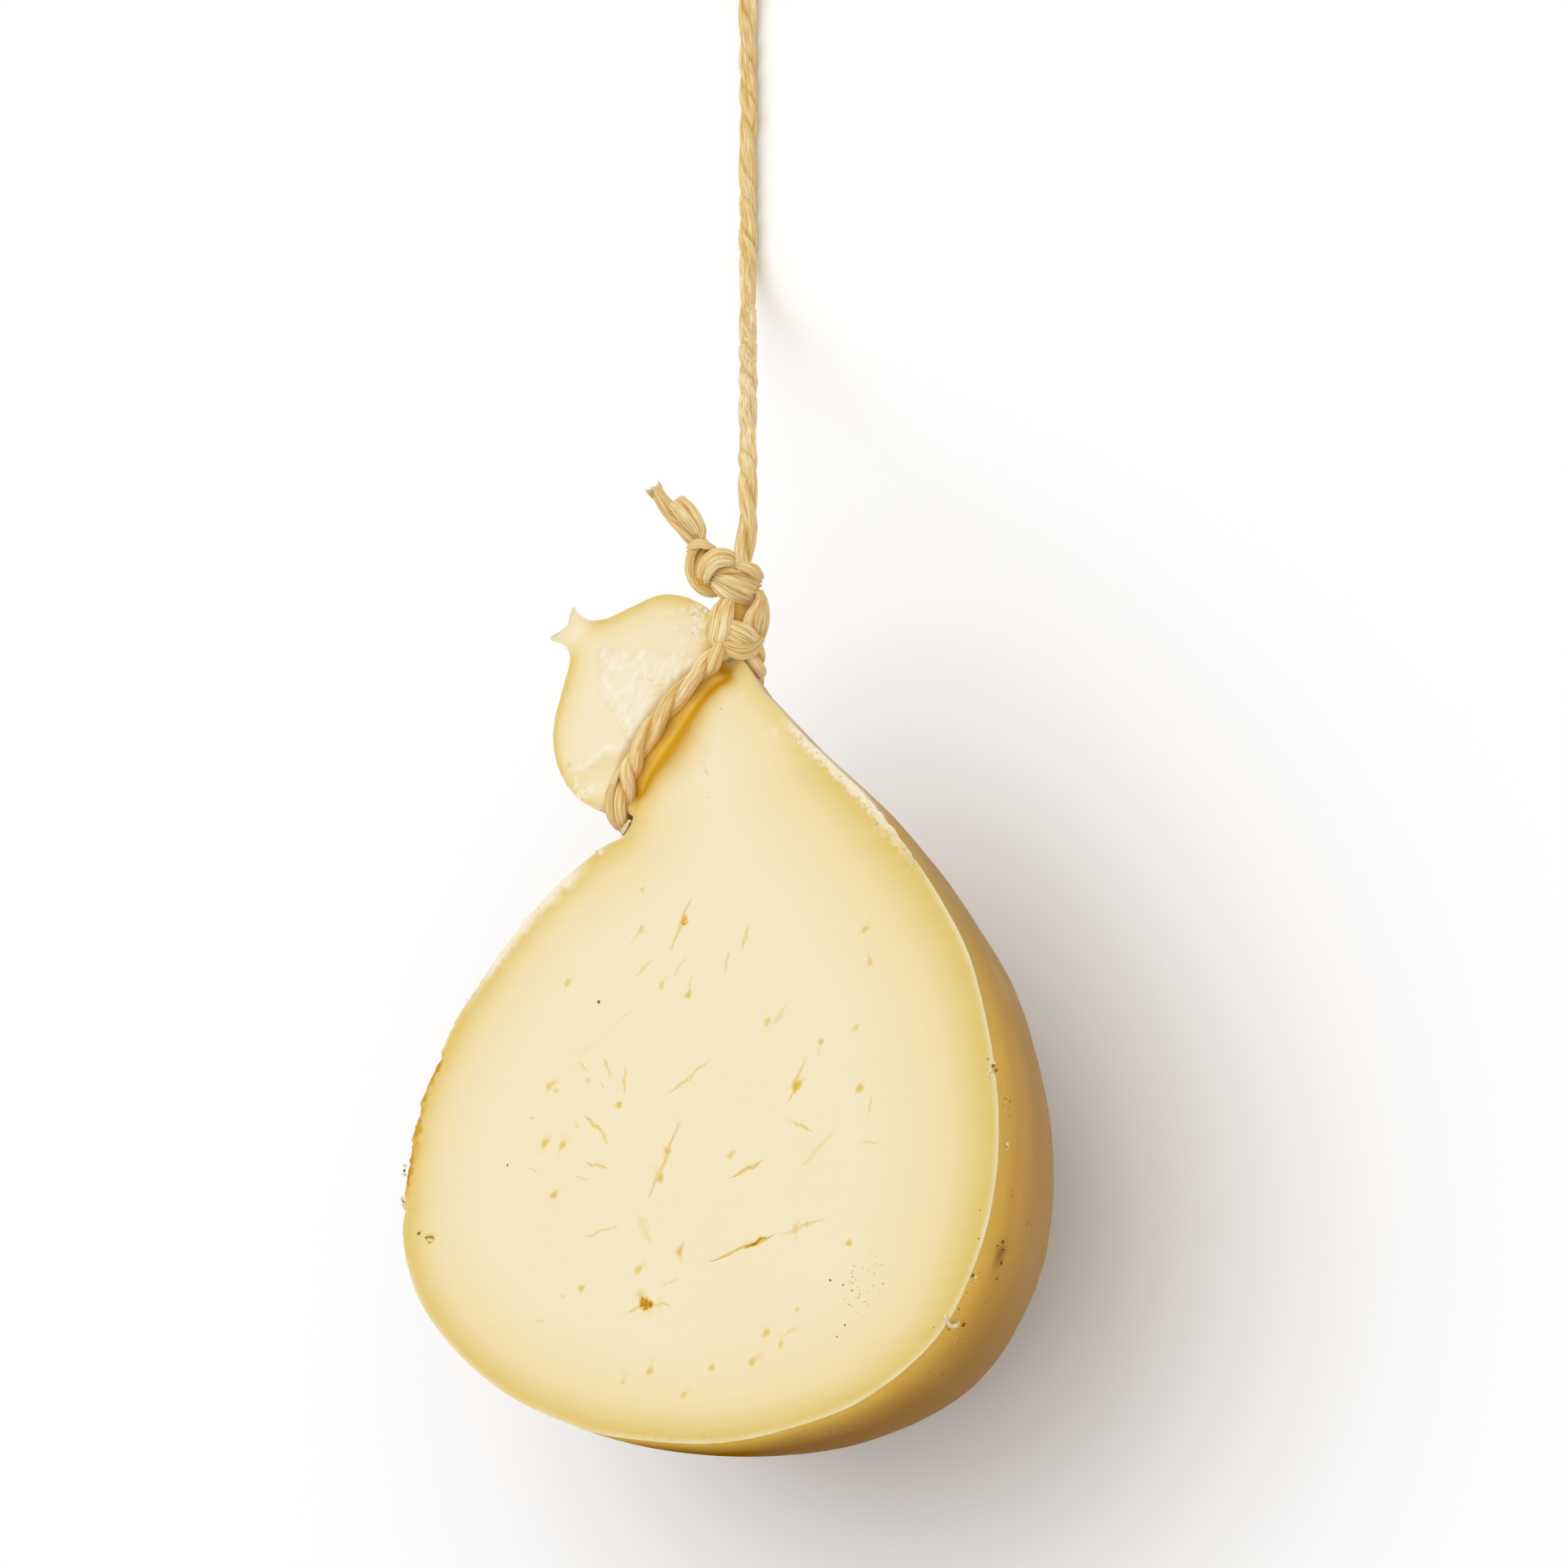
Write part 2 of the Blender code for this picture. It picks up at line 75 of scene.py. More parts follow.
camera_data = bpy.data.cameras.new("Camera")
camera_data.lens = camera_data.sensor_width * view_distance / view_width
camera_data.clip_start = 0.05
camera_data.clip_end = 20
camera = in_scene("Camera", camera_data)
camera.matrix_world = Matrix.Translation(view_middle + seen_out * view_distance) @ seen_axes.to_4x4()
bpy.context.scene.camera = camera


# The studio. A white lacquered table that runs out of sight, one large soft light high above the
# head end, and white walls all round, which the world stands for.


def srgb(code):
    """A hex colour, as it is read off the screen, in the linear values that shaders take."""
    parts = [int(code[i : i + 2], 16) / 255 for i in (1, 3, 5)]
    linear = [p / 12.92 if p <= 0.04045 else ((p + 0.055) / 1.055) ** 2.4 for p in parts]
    return (*linear, 1.0)


def add(tree, kind, inputs=None, out=None, stops=None, **settings):
    """Adds a node and returns it, or else the output that out names or numbers.

    inputs maps a socket to its value, or to the output that feeds it. stops are a colour ramp's.
    """
    node = tree.nodes.new(kind)
    for name, value in settings.items():
        setattr(node, name, value)
    for socket, value in (inputs or {}).items():
        if isinstance(value, bpy.types.NodeSocket):
            tree.links.new(value, node.inputs[socket])
        else:
            node.inputs[socket].default_value = value
    for index, (position, code) in enumerate(stops or ()):
        spots = node.color_ramp.elements
        spot = spots[index] if index < 2 else spots.new(position)
        spot.position = position
        spot.color = srgb(code)
    return node if out is None else node.outputs[out]


def empty_material(name):
    """A new material with no nodes yet, and its tree."""
    material = bpy.data.materials.new(name)
    material.use_nodes = True
    material.node_tree.nodes.clear()
    return material, material.node_tree


def finish_material(tree, sizes):
    """Ends the tree in one principled surface with these values."""
    surface = add(tree, "ShaderNodeBsdfPrincipled", sizes, 0)
    add(tree, "ShaderNodeOutputMaterial", {"Surface": surface})


# White polyurethane lacquer, sprayed: satin, so it shows only a soft reflection of the rind
lacquer, tree = empty_material("white lacquer")
finish_material(tree, {"Base Color": srgb("#FBFBFB"), "Roughness": 0.34, "IOR": 1.45})

table_mesh = bpy.data.meshes.new("table")
table_half = 3
table_top = -0.0002
corners = [(x * table_half, y * table_half, table_top) for x, y in ((-1, -1), (1, -1), (1, 1), (-1, 1))]
table_mesh.from_pydata(corners, [], [(0, 1, 2, 3)])
table_mesh.materials.append(lacquer)
table = in_scene("table", table_mesh)


def soft_light(name, place, aim, size, watts):
    """A round soft light at a place, turned to its aim."""
    data = bpy.data.lights.new(name, "AREA")
    data.shape = "DISK"
    data.size = size
    data.energy = watts
    lamp = in_scene(name, data)
    lamp.location = place
    lamp.rotation_euler = (Vector(aim) - Vector(place)).to_track_quat("-Z", "Y").to_euler()


soft_light("softbox", (-0.36, 0.52, 1.50), (0, 0, 0.05), 2.0, 7.6)

world = bpy.data.worlds.new("white studio")
world.use_nodes = True
world.node_tree.nodes["Background"].inputs["Color"].default_value = srgb("#FFFFFF")
world.node_tree.nodes["Background"].inputs["Strength"].default_value = 0.87
bpy.context.scene.world = world
bpy.context.scene.view_settings.view_transform = "Standard"


# The hanging twine. Two plies of crushed raffia laid together left-handed, a turn every 20 mm. It
# leaves the upper knot, comes down to the table, and ends just outside the view in a knotted loop.

belly_y = -0.0448
mm = 0.001


def placed(x, y, z):
    """A point of the frame, from millimetres off the belly's middle."""
    return Vector((x * mm, y * mm + belly_y, z * mm))


def smooth_between(first, second, third, fourth, t):
    """The place a share t of the way from second to third, on a smooth curve through all four."""
    square = (2 * first - 5 * second + 4 * third - fourth) * t**2
    cube = (3 * second - first - 3 * third + fourth) * t**3
    return (2 * second + (third - first) * t + square + cube) / 2


def curve_through(points, steps):
    """A smooth curve through the points, in so many steps from each to the next."""
    points = [Vector(point) for point in points]
    padded = [2 * points[0] - points[1], *points, 2 * points[-1] - points[-2]]
    curve = []
    for four in zip(padded, padded[1:], padded[2:], padded[3:]):
        curve += [smooth_between(*four, step / steps) for step in range(steps)]
    return [*curve, points[-1]]


twine_diameter = 0.0048
ply_radius = 0.00178
lay_radius = 0.00054
lay_pitch = 0.0206
twine_route = [
    (17.5, 149.5, 83.9),
    (17.2, 156.1, 83.5),
    (15.7, 163.9, 81.3),
    (12.4, 173.2, 76.3),
    (7.1, 183.8, 68.3),
    (0.2, 195.5, 57.8),
    (-8.3, 208.8, 44.8),
    (-16.9, 221.9, 31.8),
    (-24.8, 234.7, 19.8),
    (-30.7, 246.3, 10.9),
    (-34.4, 256.6, 5.3),
    (-36.0, 265.9, 2.9),
    (-36.3, 274.6, 2.4),
    (-36.3, 284.4, 2.4),
    (-36.6, 294.7, 2.4),
    (-36.1, 305.0, 2.4),
    (-36.4, 315.4, 2.4),
    (-36.4, 325.8, 2.4),
    (-36.5, 336.3, 2.4),
    (-36.5, 345.7, 2.4),
]
twine_path = curve_through([placed(*place) for place in twine_route], 4)
# The twine's plies go on into the knot, which hides their end
into_knot = [placed(16.2, 137.9, 84.6), placed(16.7, 141.6, 84.9), placed(17.2, 145.4, 84.6)]
hanging_path = curve_through([*into_knot, twine_path[0]], 4)[:-1] + twine_path

# Raffia, the dried skin of a palm leaf, split and twisted dry: pale straw, a soft satin along its
# fibres, and golden brown where the plies press together: painted shade, with a painted lighter gold
# in the knots' hearts, where light only comes through them
raffia, tree = empty_material("twisted raffia")
fibre = add(tree, "ShaderNodeAttribute", out="Vector", attribute_name="fibre")
amber_and_shade = add(tree, "ShaderNodeAttribute", out="Fac", attribute_name="crease")
fine = add(tree, "ShaderNodeTexNoise", {"Vector": fibre, "Scale": 5.5, "Detail": 5.0, "Roughness": 0.6}, 0)
broad = add(tree, "ShaderNodeTexNoise", {"Vector": fibre, "Scale": 1.3, "Detail": 2.0}, 0)
colour = add(
    tree,
    "ShaderNodeValToRGB",
    {"Fac": fine},
    0,
    [(0.34, "#C4964A"), (0.43, "#E2C386"), (0.53, "#F2DBA5"), (0.63, "#FDF0CC")],
)
broad = add(tree, "ShaderNodeValToRGB", {"Fac": broad}, 0, [(0.3, "#EED6A0"), (0.7, "#FFFFFF")])
aged = {"Fac": 0.8, "Color1": colour, "Color2": broad}
colour = add(tree, "ShaderNodeMixRGB", aged, 0, blend_type="MULTIPLY")
# Painted shade: golden brown in the creases, and lighter gold where light comes through a knot's heart
gold = add(tree, "ShaderNodeValToRGB", {"Fac": amber_and_shade}, 0, [(0.86, "#CC982C"), (1.0, "#F2C24A")])
colour = add(tree, "ShaderNodeMixRGB", {"Fac": amber_and_shade, "Color1": colour, "Color2": gold}, 0)
ridges = add(tree, "ShaderNodeBump", {"Strength": 0.55, "Distance": 0.0002, "Height": fine}, 0)
finish_material(
    tree,
    {
        "Base Color": colour,
        "Roughness": 0.58,
        "IOR": 1.45,
        "Specular IOR Level": 0.35,
        "Normal": ridges,
        "Sheen Weight": 0.12,
        "Subsurface Weight": 0.15,
        "Subsurface Radius": (1.0, 0.8, 0.5),
        "Subsurface Scale": 0.0015,
    },
)


def group_inputs(tree, sizes):
    """The tree's named inputs, and the node that gives them."""
    tree.interface.new_socket("Geometry", in_out="INPUT", socket_type="NodeSocketGeometry")
    for name, (kind, value) in sizes.items():
        socket = tree.interface.new_socket(name, in_out="INPUT", socket_type=kind)
        if value is not None:
            socket.default_value = value
    tree.interface.new_socket("Geometry", in_out="OUTPUT", socket_type="NodeSocketGeometry")
    return add(tree, "NodeGroupInput").outputs


def split_hairs(tree, ply_mesh, outwards, ahead, density, seed):
    """A few split fibres that stand off a ply, bent back by handling, and kept out of the table."""
    spots = {"Mesh": ply_mesh, "Density": density, "Seed": seed}
    spots = add(tree, "GeometryNodeDistributePointsOnFaces", spots, "Points")
    lean = {"Vector": outwards}
    lean = add(tree, "FunctionNodeAlignRotationToVector", lean, 0, axis="X")
    lean = {"Rotation": lean, "Vector": ahead}
    lean = add(tree, "FunctionNodeAlignRotationToVector", lean, 0, axis="Z", pivot_axis="X")
    hair = {"Start": (0, 0, 0), "Middle": (0.0001, 0, 0.004), "End": (0.0014, 0.0004, 0.008)}
    hair = add(tree, "GeometryNodeCurveQuadraticBezier", {"Resolution": 8, **hair}, 0)
    round_hair = {"Resolution": 5, "Radius": 0.00005}
    round_hair = add(tree, "GeometryNodeCurvePrimitiveCircle", round_hair, "Curve")
    hair = {"Curve": hair, "Profile Curve": round_hair, "Fill Caps": True}
    hair = add(tree, "GeometryNodeCurveToMesh", hair, 0)
    length = add(tree, "FunctionNodeRandomValue", {2: 0.4, 3: 1.1}, 1, data_type="FLOAT")
    hairs = {"Points": spots, "Instance": hair, "Rotation": lean, "Scale": length}
    hairs = add(tree, "GeometryNodeInstanceOnPoints", hairs, 0)
    hairs = add(tree, "GeometryNodeRealizeInstances", {"Geometry": hairs}, 0)
    on_table = {0: add(tree, "GeometryNodeInputPosition", out=0), 1: (-9, -9, 0.0001)}
    on_table = add(tree, "ShaderNodeVectorMath", on_table, 0, operation="MAXIMUM")
    hairs = {"Geometry": hairs, "Position": on_table}
    return add(tree, "GeometryNodeSetPosition", hairs, 0)


# How fast the fibres' pattern changes, in units a metre, along a ply and across it
fibres_along = 32.0
fibres_across = 800


def laid_twine_tree():
    """A curve becomes two ribbed plies that wind round it, capped at both ends."""
    tree = bpy.data.node_groups.new("laid raffia twine", "GeometryNodeTree")
    inputs = group_inputs(
        tree,
        {
            "Ply Radius": ("NodeSocketFloat", 0.0018),
            "Lay Radius": ("NodeSocketFloat", 0.0006),
            "Pitch": ("NodeSocketFloat", 0.02),
            "Slack": ("NodeSocketFloat", 0.0),
            "Splay": ("NodeSocketFloat", 0.0),
            "Start Turn": ("NodeSocketFloat", 0.0),
            "Rib Height": ("NodeSocketFloat", 0.00045),
            "Step": ("NodeSocketFloat", 0.0006),
            "Ribs": ("NodeSocketInt", 42),
            "Hairs": ("NodeSocketFloat", 2600.0),
            "Seed": ("NodeSocketFloat", 1.0),
            "Material": ("NodeSocketMaterial", None),
        },
    )
    line = {"Curve": inputs["Geometry"], "Length": inputs["Step"]}
    line = add(tree, "GeometryNodeResampleCurve", line, 0, mode="LENGTH")
    line = add(tree, "GeometryNodeSetCurveNormal", {"Curve": line}, 0, mode="MINIMUM_TWIST")
    along = add(tree, "GeometryNodeSplineParameter", out="Length")
    normal = add(tree, "GeometryNodeInputNormal", out="Normal")
    tangent = add(tree, "GeometryNodeInputTangent", out=0)
    # The lay is slacker, or its plies lie further apart, where the twine runs downwards
    slope = add(tree, "ShaderNodeSeparateXYZ", {"Vector": tangent}, "Z")
    slope = add(tree, "ShaderNodeMath", {0: slope}, 0, operation="ABSOLUTE")
    slack = {0: slope, 1: inputs["Slack"], 2: 1.0}
    slack = add(tree, "ShaderNodeMath", slack, 0, operation="MULTIPLY_ADD")
    turn_length = add(tree, "ShaderNodeMath", {0: inputs["Pitch"], 1: slack}, 0, operation="MULTIPLY")
    share = add(tree, "ShaderNodeMath", {0: inputs["Step"], 1: turn_length}, 0, operation="DIVIDE")
    turns = add(tree, "GeometryNodeAccumulateField", {"Value": share}, "Trailing", data_type="FLOAT")
    turns = add(tree, "ShaderNodeMath", {0: turns, 1: inputs["Start Turn"]}, 0, operation="ADD")
    # It was laid by hand: its pitch wanders over some 30 mm, and its thickness over 11 mm
    place = add(tree, "ShaderNodeMath", {0: along, 1: inputs["Seed"]}, 0, operation="ADD")
    wander = {"W": place, "Scale": 34.0, "Detail": 1.0}
    wander = add(tree, "ShaderNodeTexNoise", wander, 0, noise_dimensions="1D")
    wander = add(tree, "ShaderNodeMapRange", {"Value": wander, "To Min": -0.5, "To Max": 0.5}, 0)
    turns = add(tree, "ShaderNodeMath", {0: turns, 1: wander}, 0, operation="ADD")
    uneven = {"W": place, "Scale": 90.0, "Detail": 1.0}
    uneven = add(tree, "ShaderNodeTexNoise", uneven, 0, noise_dimensions="1D")
    tight = {"Value": uneven, "From Min": 0.3, "From Max": 0.7, "To Min": 0.30, "To Max": 0.84}
    tight = add(tree, "ShaderNodeMapRange", tight, 0)
    uneven = add(tree, "ShaderNodeMapRange", {"Value": uneven, "To Min": 0.62, "To Max": 1.38}, 0)
    reach = add(tree, "ShaderNodeMath", {0: inputs["Lay Radius"], 1: uneven}, 0, operation="MULTIPLY")
    splay = {0: slope, 1: inputs["Splay"], 2: 1.0}
    splay = add(tree, "ShaderNodeMath", splay, 0, operation="MULTIPLY_ADD")
    reach = add(tree, "ShaderNodeMath", {0: reach, 1: splay}, 0, operation="MULTIPLY")
    plies = []
    for ply in (0, 1):
        angle = {0: turns, 1: -math.tau, 2: -math.pi * ply}
        angle = add(tree, "ShaderNodeMath", angle, 0, operation="MULTIPLY_ADD")
        outwards = {"Vector": normal, "Axis": tangent, "Angle": angle}
        outwards = add(tree, "ShaderNodeVectorRotate", outwards, 0, rotation_type="AXIS_ANGLE")
        kept = add(tree, "GeometryNodeCaptureAttribute", {"Geometry": line}, domain="POINT")
        for kind, name, value in (
            ("FLOAT", "Along", along),
            ("VECTOR", "Outwards", outwards),
            ("VECTOR", "Ahead", tangent),
            ("FLOAT", "Tight", tight),
        ):
            kept.capture_items.new(kind, name)
            tree.links.new(value, kept.inputs[name])
        offset = add(tree, "ShaderNodeVectorMath", {0: outwards, "Scale": reach}, 0, operation="SCALE")
        wound = {"Geometry": kept.outputs["Geometry"], "Offset": offset}
        wound = add(tree, "GeometryNodeSetPosition", wound, 0)
        ring = {"Resolution": inputs["Ribs"], "Radius": inputs["Ply Radius"]}
        ring = add(tree, "GeometryNodeCurvePrimitiveCircle", ring, "Curve")
        section = add(tree, "GeometryNodeCaptureAttribute", {"Geometry": ring}, domain="POINT")
        section.capture_items.new("VECTOR", "Ring")
        tree.links.new(add(tree, "GeometryNodeInputPosition", out=0), section.inputs["Ring"])
        tube = {"Curve": wound, "Profile Curve": section.outputs["Geometry"], "Fill Caps": True}
        tube = add(tree, "GeometryNodeCurveToMesh", tube, 0)
        # Fibres run along a ply, so their pattern is drawn out twenty-five times that way
        drawn = {0: kept.outputs["Along"], 1: fibres_along, 2: inputs["Seed"]}
        drawn = add(tree, "ShaderNodeMath", drawn, 0, operation="MULTIPLY_ADD")
        start = add(tree, "ShaderNodeCombineXYZ", {"X": 9.0 * ply, "Z": drawn}, 0)
        fibre = {0: section.outputs["Ring"], 1: (fibres_across, fibres_across, 0), 2: start}
        fibre = add(tree, "ShaderNodeVectorMath", fibre, 0, operation="MULTIPLY_ADD")
        ribs = {"Vector": fibre, "Scale": 2.0, "Detail": 2.0, "Roughness": 0.6}
        ribs = add(tree, "ShaderNodeTexNoise", ribs, 0)
        rise = add(tree, "ShaderNodeMath", {0: ribs, 1: 0.5}, 0, operation="SUBTRACT")
        rise = add(tree, "ShaderNodeMath", {0: rise, 1: inputs["Rib Height"]}, 0, operation="MULTIPLY")
        surface = add(tree, "GeometryNodeInputNormal", out="Normal")
        rise = add(tree, "ShaderNodeVectorMath", {0: surface, "Scale": rise}, 0, operation="SCALE")
        ribbed = add(tree, "GeometryNodeSetPosition", {"Geometry": tube, "Offset": rise}, 0)
        # Painted shade: a ply is golden between its ribs, and where it lies against the other one
        hollow = {"Value": ribs, "From Min": 0.45, "From Max": 0.30, "To Max": 0.5}
        hollow = add(tree, "ShaderNodeMapRange", hollow, 0)
        facing = {0: surface, 1: kept.outputs["Outwards"]}
        facing = add(tree, "ShaderNodeVectorMath", facing, "Value", operation="DOT_PRODUCT")
        touching = {"Value": facing, "From Min": 0.24, "From Max": -0.22}
        touching["To Max"] = kept.outputs["Tight"]
        touching = add(tree, "ShaderNodeMapRange", touching, 0)
        hollow = add(tree, "ShaderNodeMath", {0: hollow, 1: touching}, 0, operation="MAXIMUM")
        for name, value, kind in (("fibre", fibre, "FLOAT_VECTOR"), ("crease", hollow, "FLOAT")):
            ribbed = {"Geometry": ribbed, "Name": name, "Value": value}
            ribbed = add(tree, "GeometryNodeStoreNamedAttribute", ribbed, 0, data_type=kind)
        way = (kept.outputs["Outwards"], kept.outputs["Ahead"])
        plies += [ribbed, split_hairs(tree, ribbed, *way, inputs["Hairs"], 5 + ply)]
    whole = add(tree, "GeometryNodeJoinGeometry")
    for part in plies:
        tree.links.new(part, whole.inputs["Geometry"])
    finish_tree(tree, whole.outputs["Geometry"], inputs["Material"])
    return tree


def finish_tree(tree, shape, material):
    """Ends the tree in real, smooth geometry in one material."""
    smooth = add(tree, "GeometryNodeSetShadeSmooth", {"Geometry": shape}, 0)
    real = add(tree, "GeometryNodeRealizeInstances", {"Geometry": smooth}, 0)
    painted = add(tree, "GeometryNodeSetMaterial", {"Geometry": real, "Material": material}, 0)
    add(tree, "NodeGroupOutput", {"Geometry": painted})


def grow(name, curve_or_mesh, tree, values, material):
    """What the node tree makes of the data with these values, as a plain mesh object."""
    source = in_scene(name + " line", curve_or_mesh)
    modifier = source.modifiers.new("Grow", "NODES")
    modifier.node_group = tree
    sockets = {item.name: item.identifier for item in tree.interface.items_tree}
    for key, value in {**values, "Material": material}.items():
        modifier[sockets[key]] = value
    bpy.context.view_layer.update()
    graph = bpy.context.evaluated_depsgraph_get()
    mesh = bpy.data.meshes.new_from_object(source.evaluated_get(graph))
    bpy.data.objects.remove(source)
    mesh.name = name
    if material.name not in mesh.materials:
        mesh.materials.append(material)
    return in_scene(name, mesh)


def line_data(name, *lines):
    """Curve data with one open line through each list of points."""
    data = bpy.data.curves.new(name, "CURVE")
    data.dimensions = "3D"
    for points in lines:
        spline = data.splines.new("POLY")
        spline.points.add(len(points) - 1)
        for spot, point in zip(spline.points, points):
            spot.co = (*point, 1)
    return data


twine_tree = laid_twine_tree()
twine_sizes = {"Ply Radius": ply_radius, "Lay Radius": lay_radius, "Pitch": lay_pitch}
hanging = grow(
    "hanging_raffia",
    line_data("hanging raffia", hanging_path),
    twine_tree,
    {**twine_sizes, "Slack": 2.2, "Start Turn": 0.1, "Seed": 3.0},
    raffia,
)
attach(hanging, "root")
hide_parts("hanging_twine")


# The hanging loop. The same twine, doubled back and tied, flat on the table: what the cheese hung
# by on its pole while it aged. The knot is two round turns drawn tight over the twine's end.

loop_length = 0.032
loop_width = 0.018
loop_apart = 0.0050
loop_steps = 56
end_knot = placed(-36.5, 351.0, 4.2)


def end_loop_path():
    """The loop's middle line, open where both its ends go into the knot."""
    start = math.asin(loop_apart / loop_width)
    points = []
    for step in range(loop_steps + 1):
        angle = start + 2 * (math.pi - start) * step / loop_steps
        side = loop_width / 2 * math.sin(angle)
        away = loop_length * (1 - math.cos(angle)) / 2
        points.append(Vector((end_knot.x + side, end_knot.y + away, twine_diameter / 2 + 0.0001)))
    return points


end_loop = grow(
    "hanging_loop",
    line_data("hanging loop", end_loop_path()),
    twine_tree,
    {**twine_sizes, "Start Turn": 0.3, "Seed": 11.0},
    raffia,
)


# The grooves of a flat bundle lie in sets that cross slowly: depth, grooves round it, turn a metre
groove_sets = ((1.0, 17, 120), (0.8, 11, -190), (0.6, 6, 60))
groove_depth = 0.00007


def ribbon(path, halves, core, flat=0.5, dark=0.0, seed=1, ragged=0.0):
    """A flattened bundle of fibres along a path, its flat side away from the core, in metres.

    It returns points, faces, each point's place among the fibres, and how dark its painted shade is.
    """
    around = 72
    draw = random.Random(seed)
    phases = [draw.uniform(0, math.tau) for _ in range(5)]
    points, faces, places, darks = [], [], [], []
    travelled = 0.0
    last = len(path) - 1
    for row, point in enumerate(path):
        tangent = (path[min(row + 1, last)] - path[max(row - 1, 0)]).normalized()
        out = point - core
        out = (out - tangent * out.dot(tangent)).normalized()
        side = out.cross(tangent)
        if row:
            travelled += (point - path[row - 1]).length
        half = halves[row] * (1 + 0.05 * math.sin(700 * travelled + phases[4]))
        for step in range(around):
            angle = math.tau * step / around
            across, over = math.cos(angle), math.sin(angle)
            wave = 0.0
            for (depth, grooves, turn), phase in zip(groove_sets, phases):
                wave += depth * math.sin(grooves * angle + phase + turn * travelled)
            wave += 1.5 * noise.noise((across * 3.5, over * 3.5, travelled * 160 + seed))
            lift = min(groove_depth, 0.07 * half) * wave
            spot = point + side * (half + lift) * across + out * (half * flat + lift) * over
            if row in (0, last):
                tear = 1.6 * noise.noise((across * 3, over * 3, seed)) + draw.uniform(-0.3, 0.3)
                spot += tangent * (ragged * tear) * (1 if row else -1)
            points.append(spot)
            places.append((across * 1.4 + seed * 7, over * 1.4, travelled * fibres_along))
            # Painted shade: darker in the grooves, and never lighter than the ribbon's own shade
            darks.append(max(dark, min(0.8, -0.20 - 0.34 * wave)))
        if row:
            base = (row - 1) * around
            for step in range(around):
                after = (step + 1) % around
                faces.append((base + step, base + after, base + around + after, base + around + step))
    for row, way in ((0, 1), (last, -1)):
        base = row * around
        points.append(path[row] + (path[row] - path[row + way]) * 0.2)
        places.append((seed * 7, 0, travelled * fibres_along))
        darks.append(0.15)
        tip = len(points) - 1
        for step in range(around):
            after = (step + 1) % around
            pair = (after, step) if way > 0 else (step, after)
            faces.append((base + pair[0], base + pair[1], tip))
    return points, faces, places, darks


def bundles_object(name, bundles, material):
    """One object from several ribbons."""
    points, faces, places, grooves = [], [], [], []
    for bundle in bundles:
        base = len(points)
        points += bundle[0]
        faces += [tuple(base + index for index in face) for face in bundle[1]]
        places += bundle[2]
        grooves += bundle[3]
    mesh = bpy.data.meshes.new(name)
    mesh.from_pydata([tuple(point) for point in points], [], faces)
    fibre = mesh.attributes.new("fibre", "FLOAT_VECTOR", "POINT")
    fibre.data.foreach_set("vector", np.array(places, np.float32).ravel())
    crease = mesh.attributes.new("crease", "FLOAT", "POINT")
    crease.data.foreach_set("value", np.array(grooves, np.float32))
    mesh.shade_smooth()
    mesh.materials.append(material)
    return in_scene(name, mesh)


def swell(count, start, middle, end):
    """A bundle's half width along its path: start, middle and end."""
    steps = [step / (count - 1) for step in range(count)]
    return [(start * (1 - t) ** 2 + 2 * middle * t * (1 - t) + end * t**2) * mm for t in steps]


turn_half_width = 0.0021
turn_reach = (4.2, 2.4)
round_steps = 38
overlap_steps = 2


def round_turn(along, lean):
    """One turn round the end knot, as a path that overlaps itself a little."""
    points = []
    for step in range(round_steps + overlap_steps + 1):
        angle = math.tau * step / round_steps
        across, up = turn_reach[0] * math.cos(angle), turn_reach[1] * math.sin(angle)
        points.append(end_knot + Vector((across, along + lean * math.sin(angle), up)) * mm)
    return points


knot_turns = []
for seed, along, lean in ((5, -1.8, 1.0), (6, 1.8, -1.0)):
    turn = round_turn(along, lean)
    knot_turns.append(ribbon(turn, [turn_half_width] * len(turn), end_knot, flat=0.8, seed=seed))
knot_heart = [end_knot + Vector((0, along * mm, 0)) for along in (-6.4, -5, -3, 0, 3, 4.6)]
heart_widths = swell(len(knot_heart), 2.6, 4.0, 2.6)
below_knot = end_knot - Vector((0, 0, 0.01))
knot_turns.append(ribbon(knot_heart, heart_widths, below_knot, flat=0.8, seed=7))
end_turns = bundles_object("end_knot_turns", knot_turns, raffia)
for piece in (end_loop, end_turns):
    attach(piece, "root")
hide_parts("end_loop")


# The cheese. Curd stretched in hot water, folded into a pear with a head, tied, brined and aged, then
# cut lengthwise with a long knife. Its paste is pale and close, with small eyes and slits that lie
# along the stretch, and it darkens to a straw yellow under the smooth, oiled rind.

cut_height = 80.0
neck_middle = np.array((-7.2, 103.3))
neck_turn = math.radians(48)
neck_along = np.array((math.cos(neck_turn), math.sin(neck_turn)))
neck_out = np.array((-math.sin(neck_turn), math.cos(neck_turn)))
neck_half_width = 20.0
neck_depth = 20.5
neck_sink = 3.6
neck_corner_drop = 3.2
neck_squareness = 2.6
face_bend_height = 6.0
rind_bend_height = 4.0
bend_reach = 40.0
body_crease_spread = 3.6
head_crease_spread = 1.0
corner_spread = 1.8
channel_half_width = 2.7
rind_squareness = 2.08
foot = (8.0, -69.3)
row_spacing = 0.9
neck_rows = 6
link_rows = 5

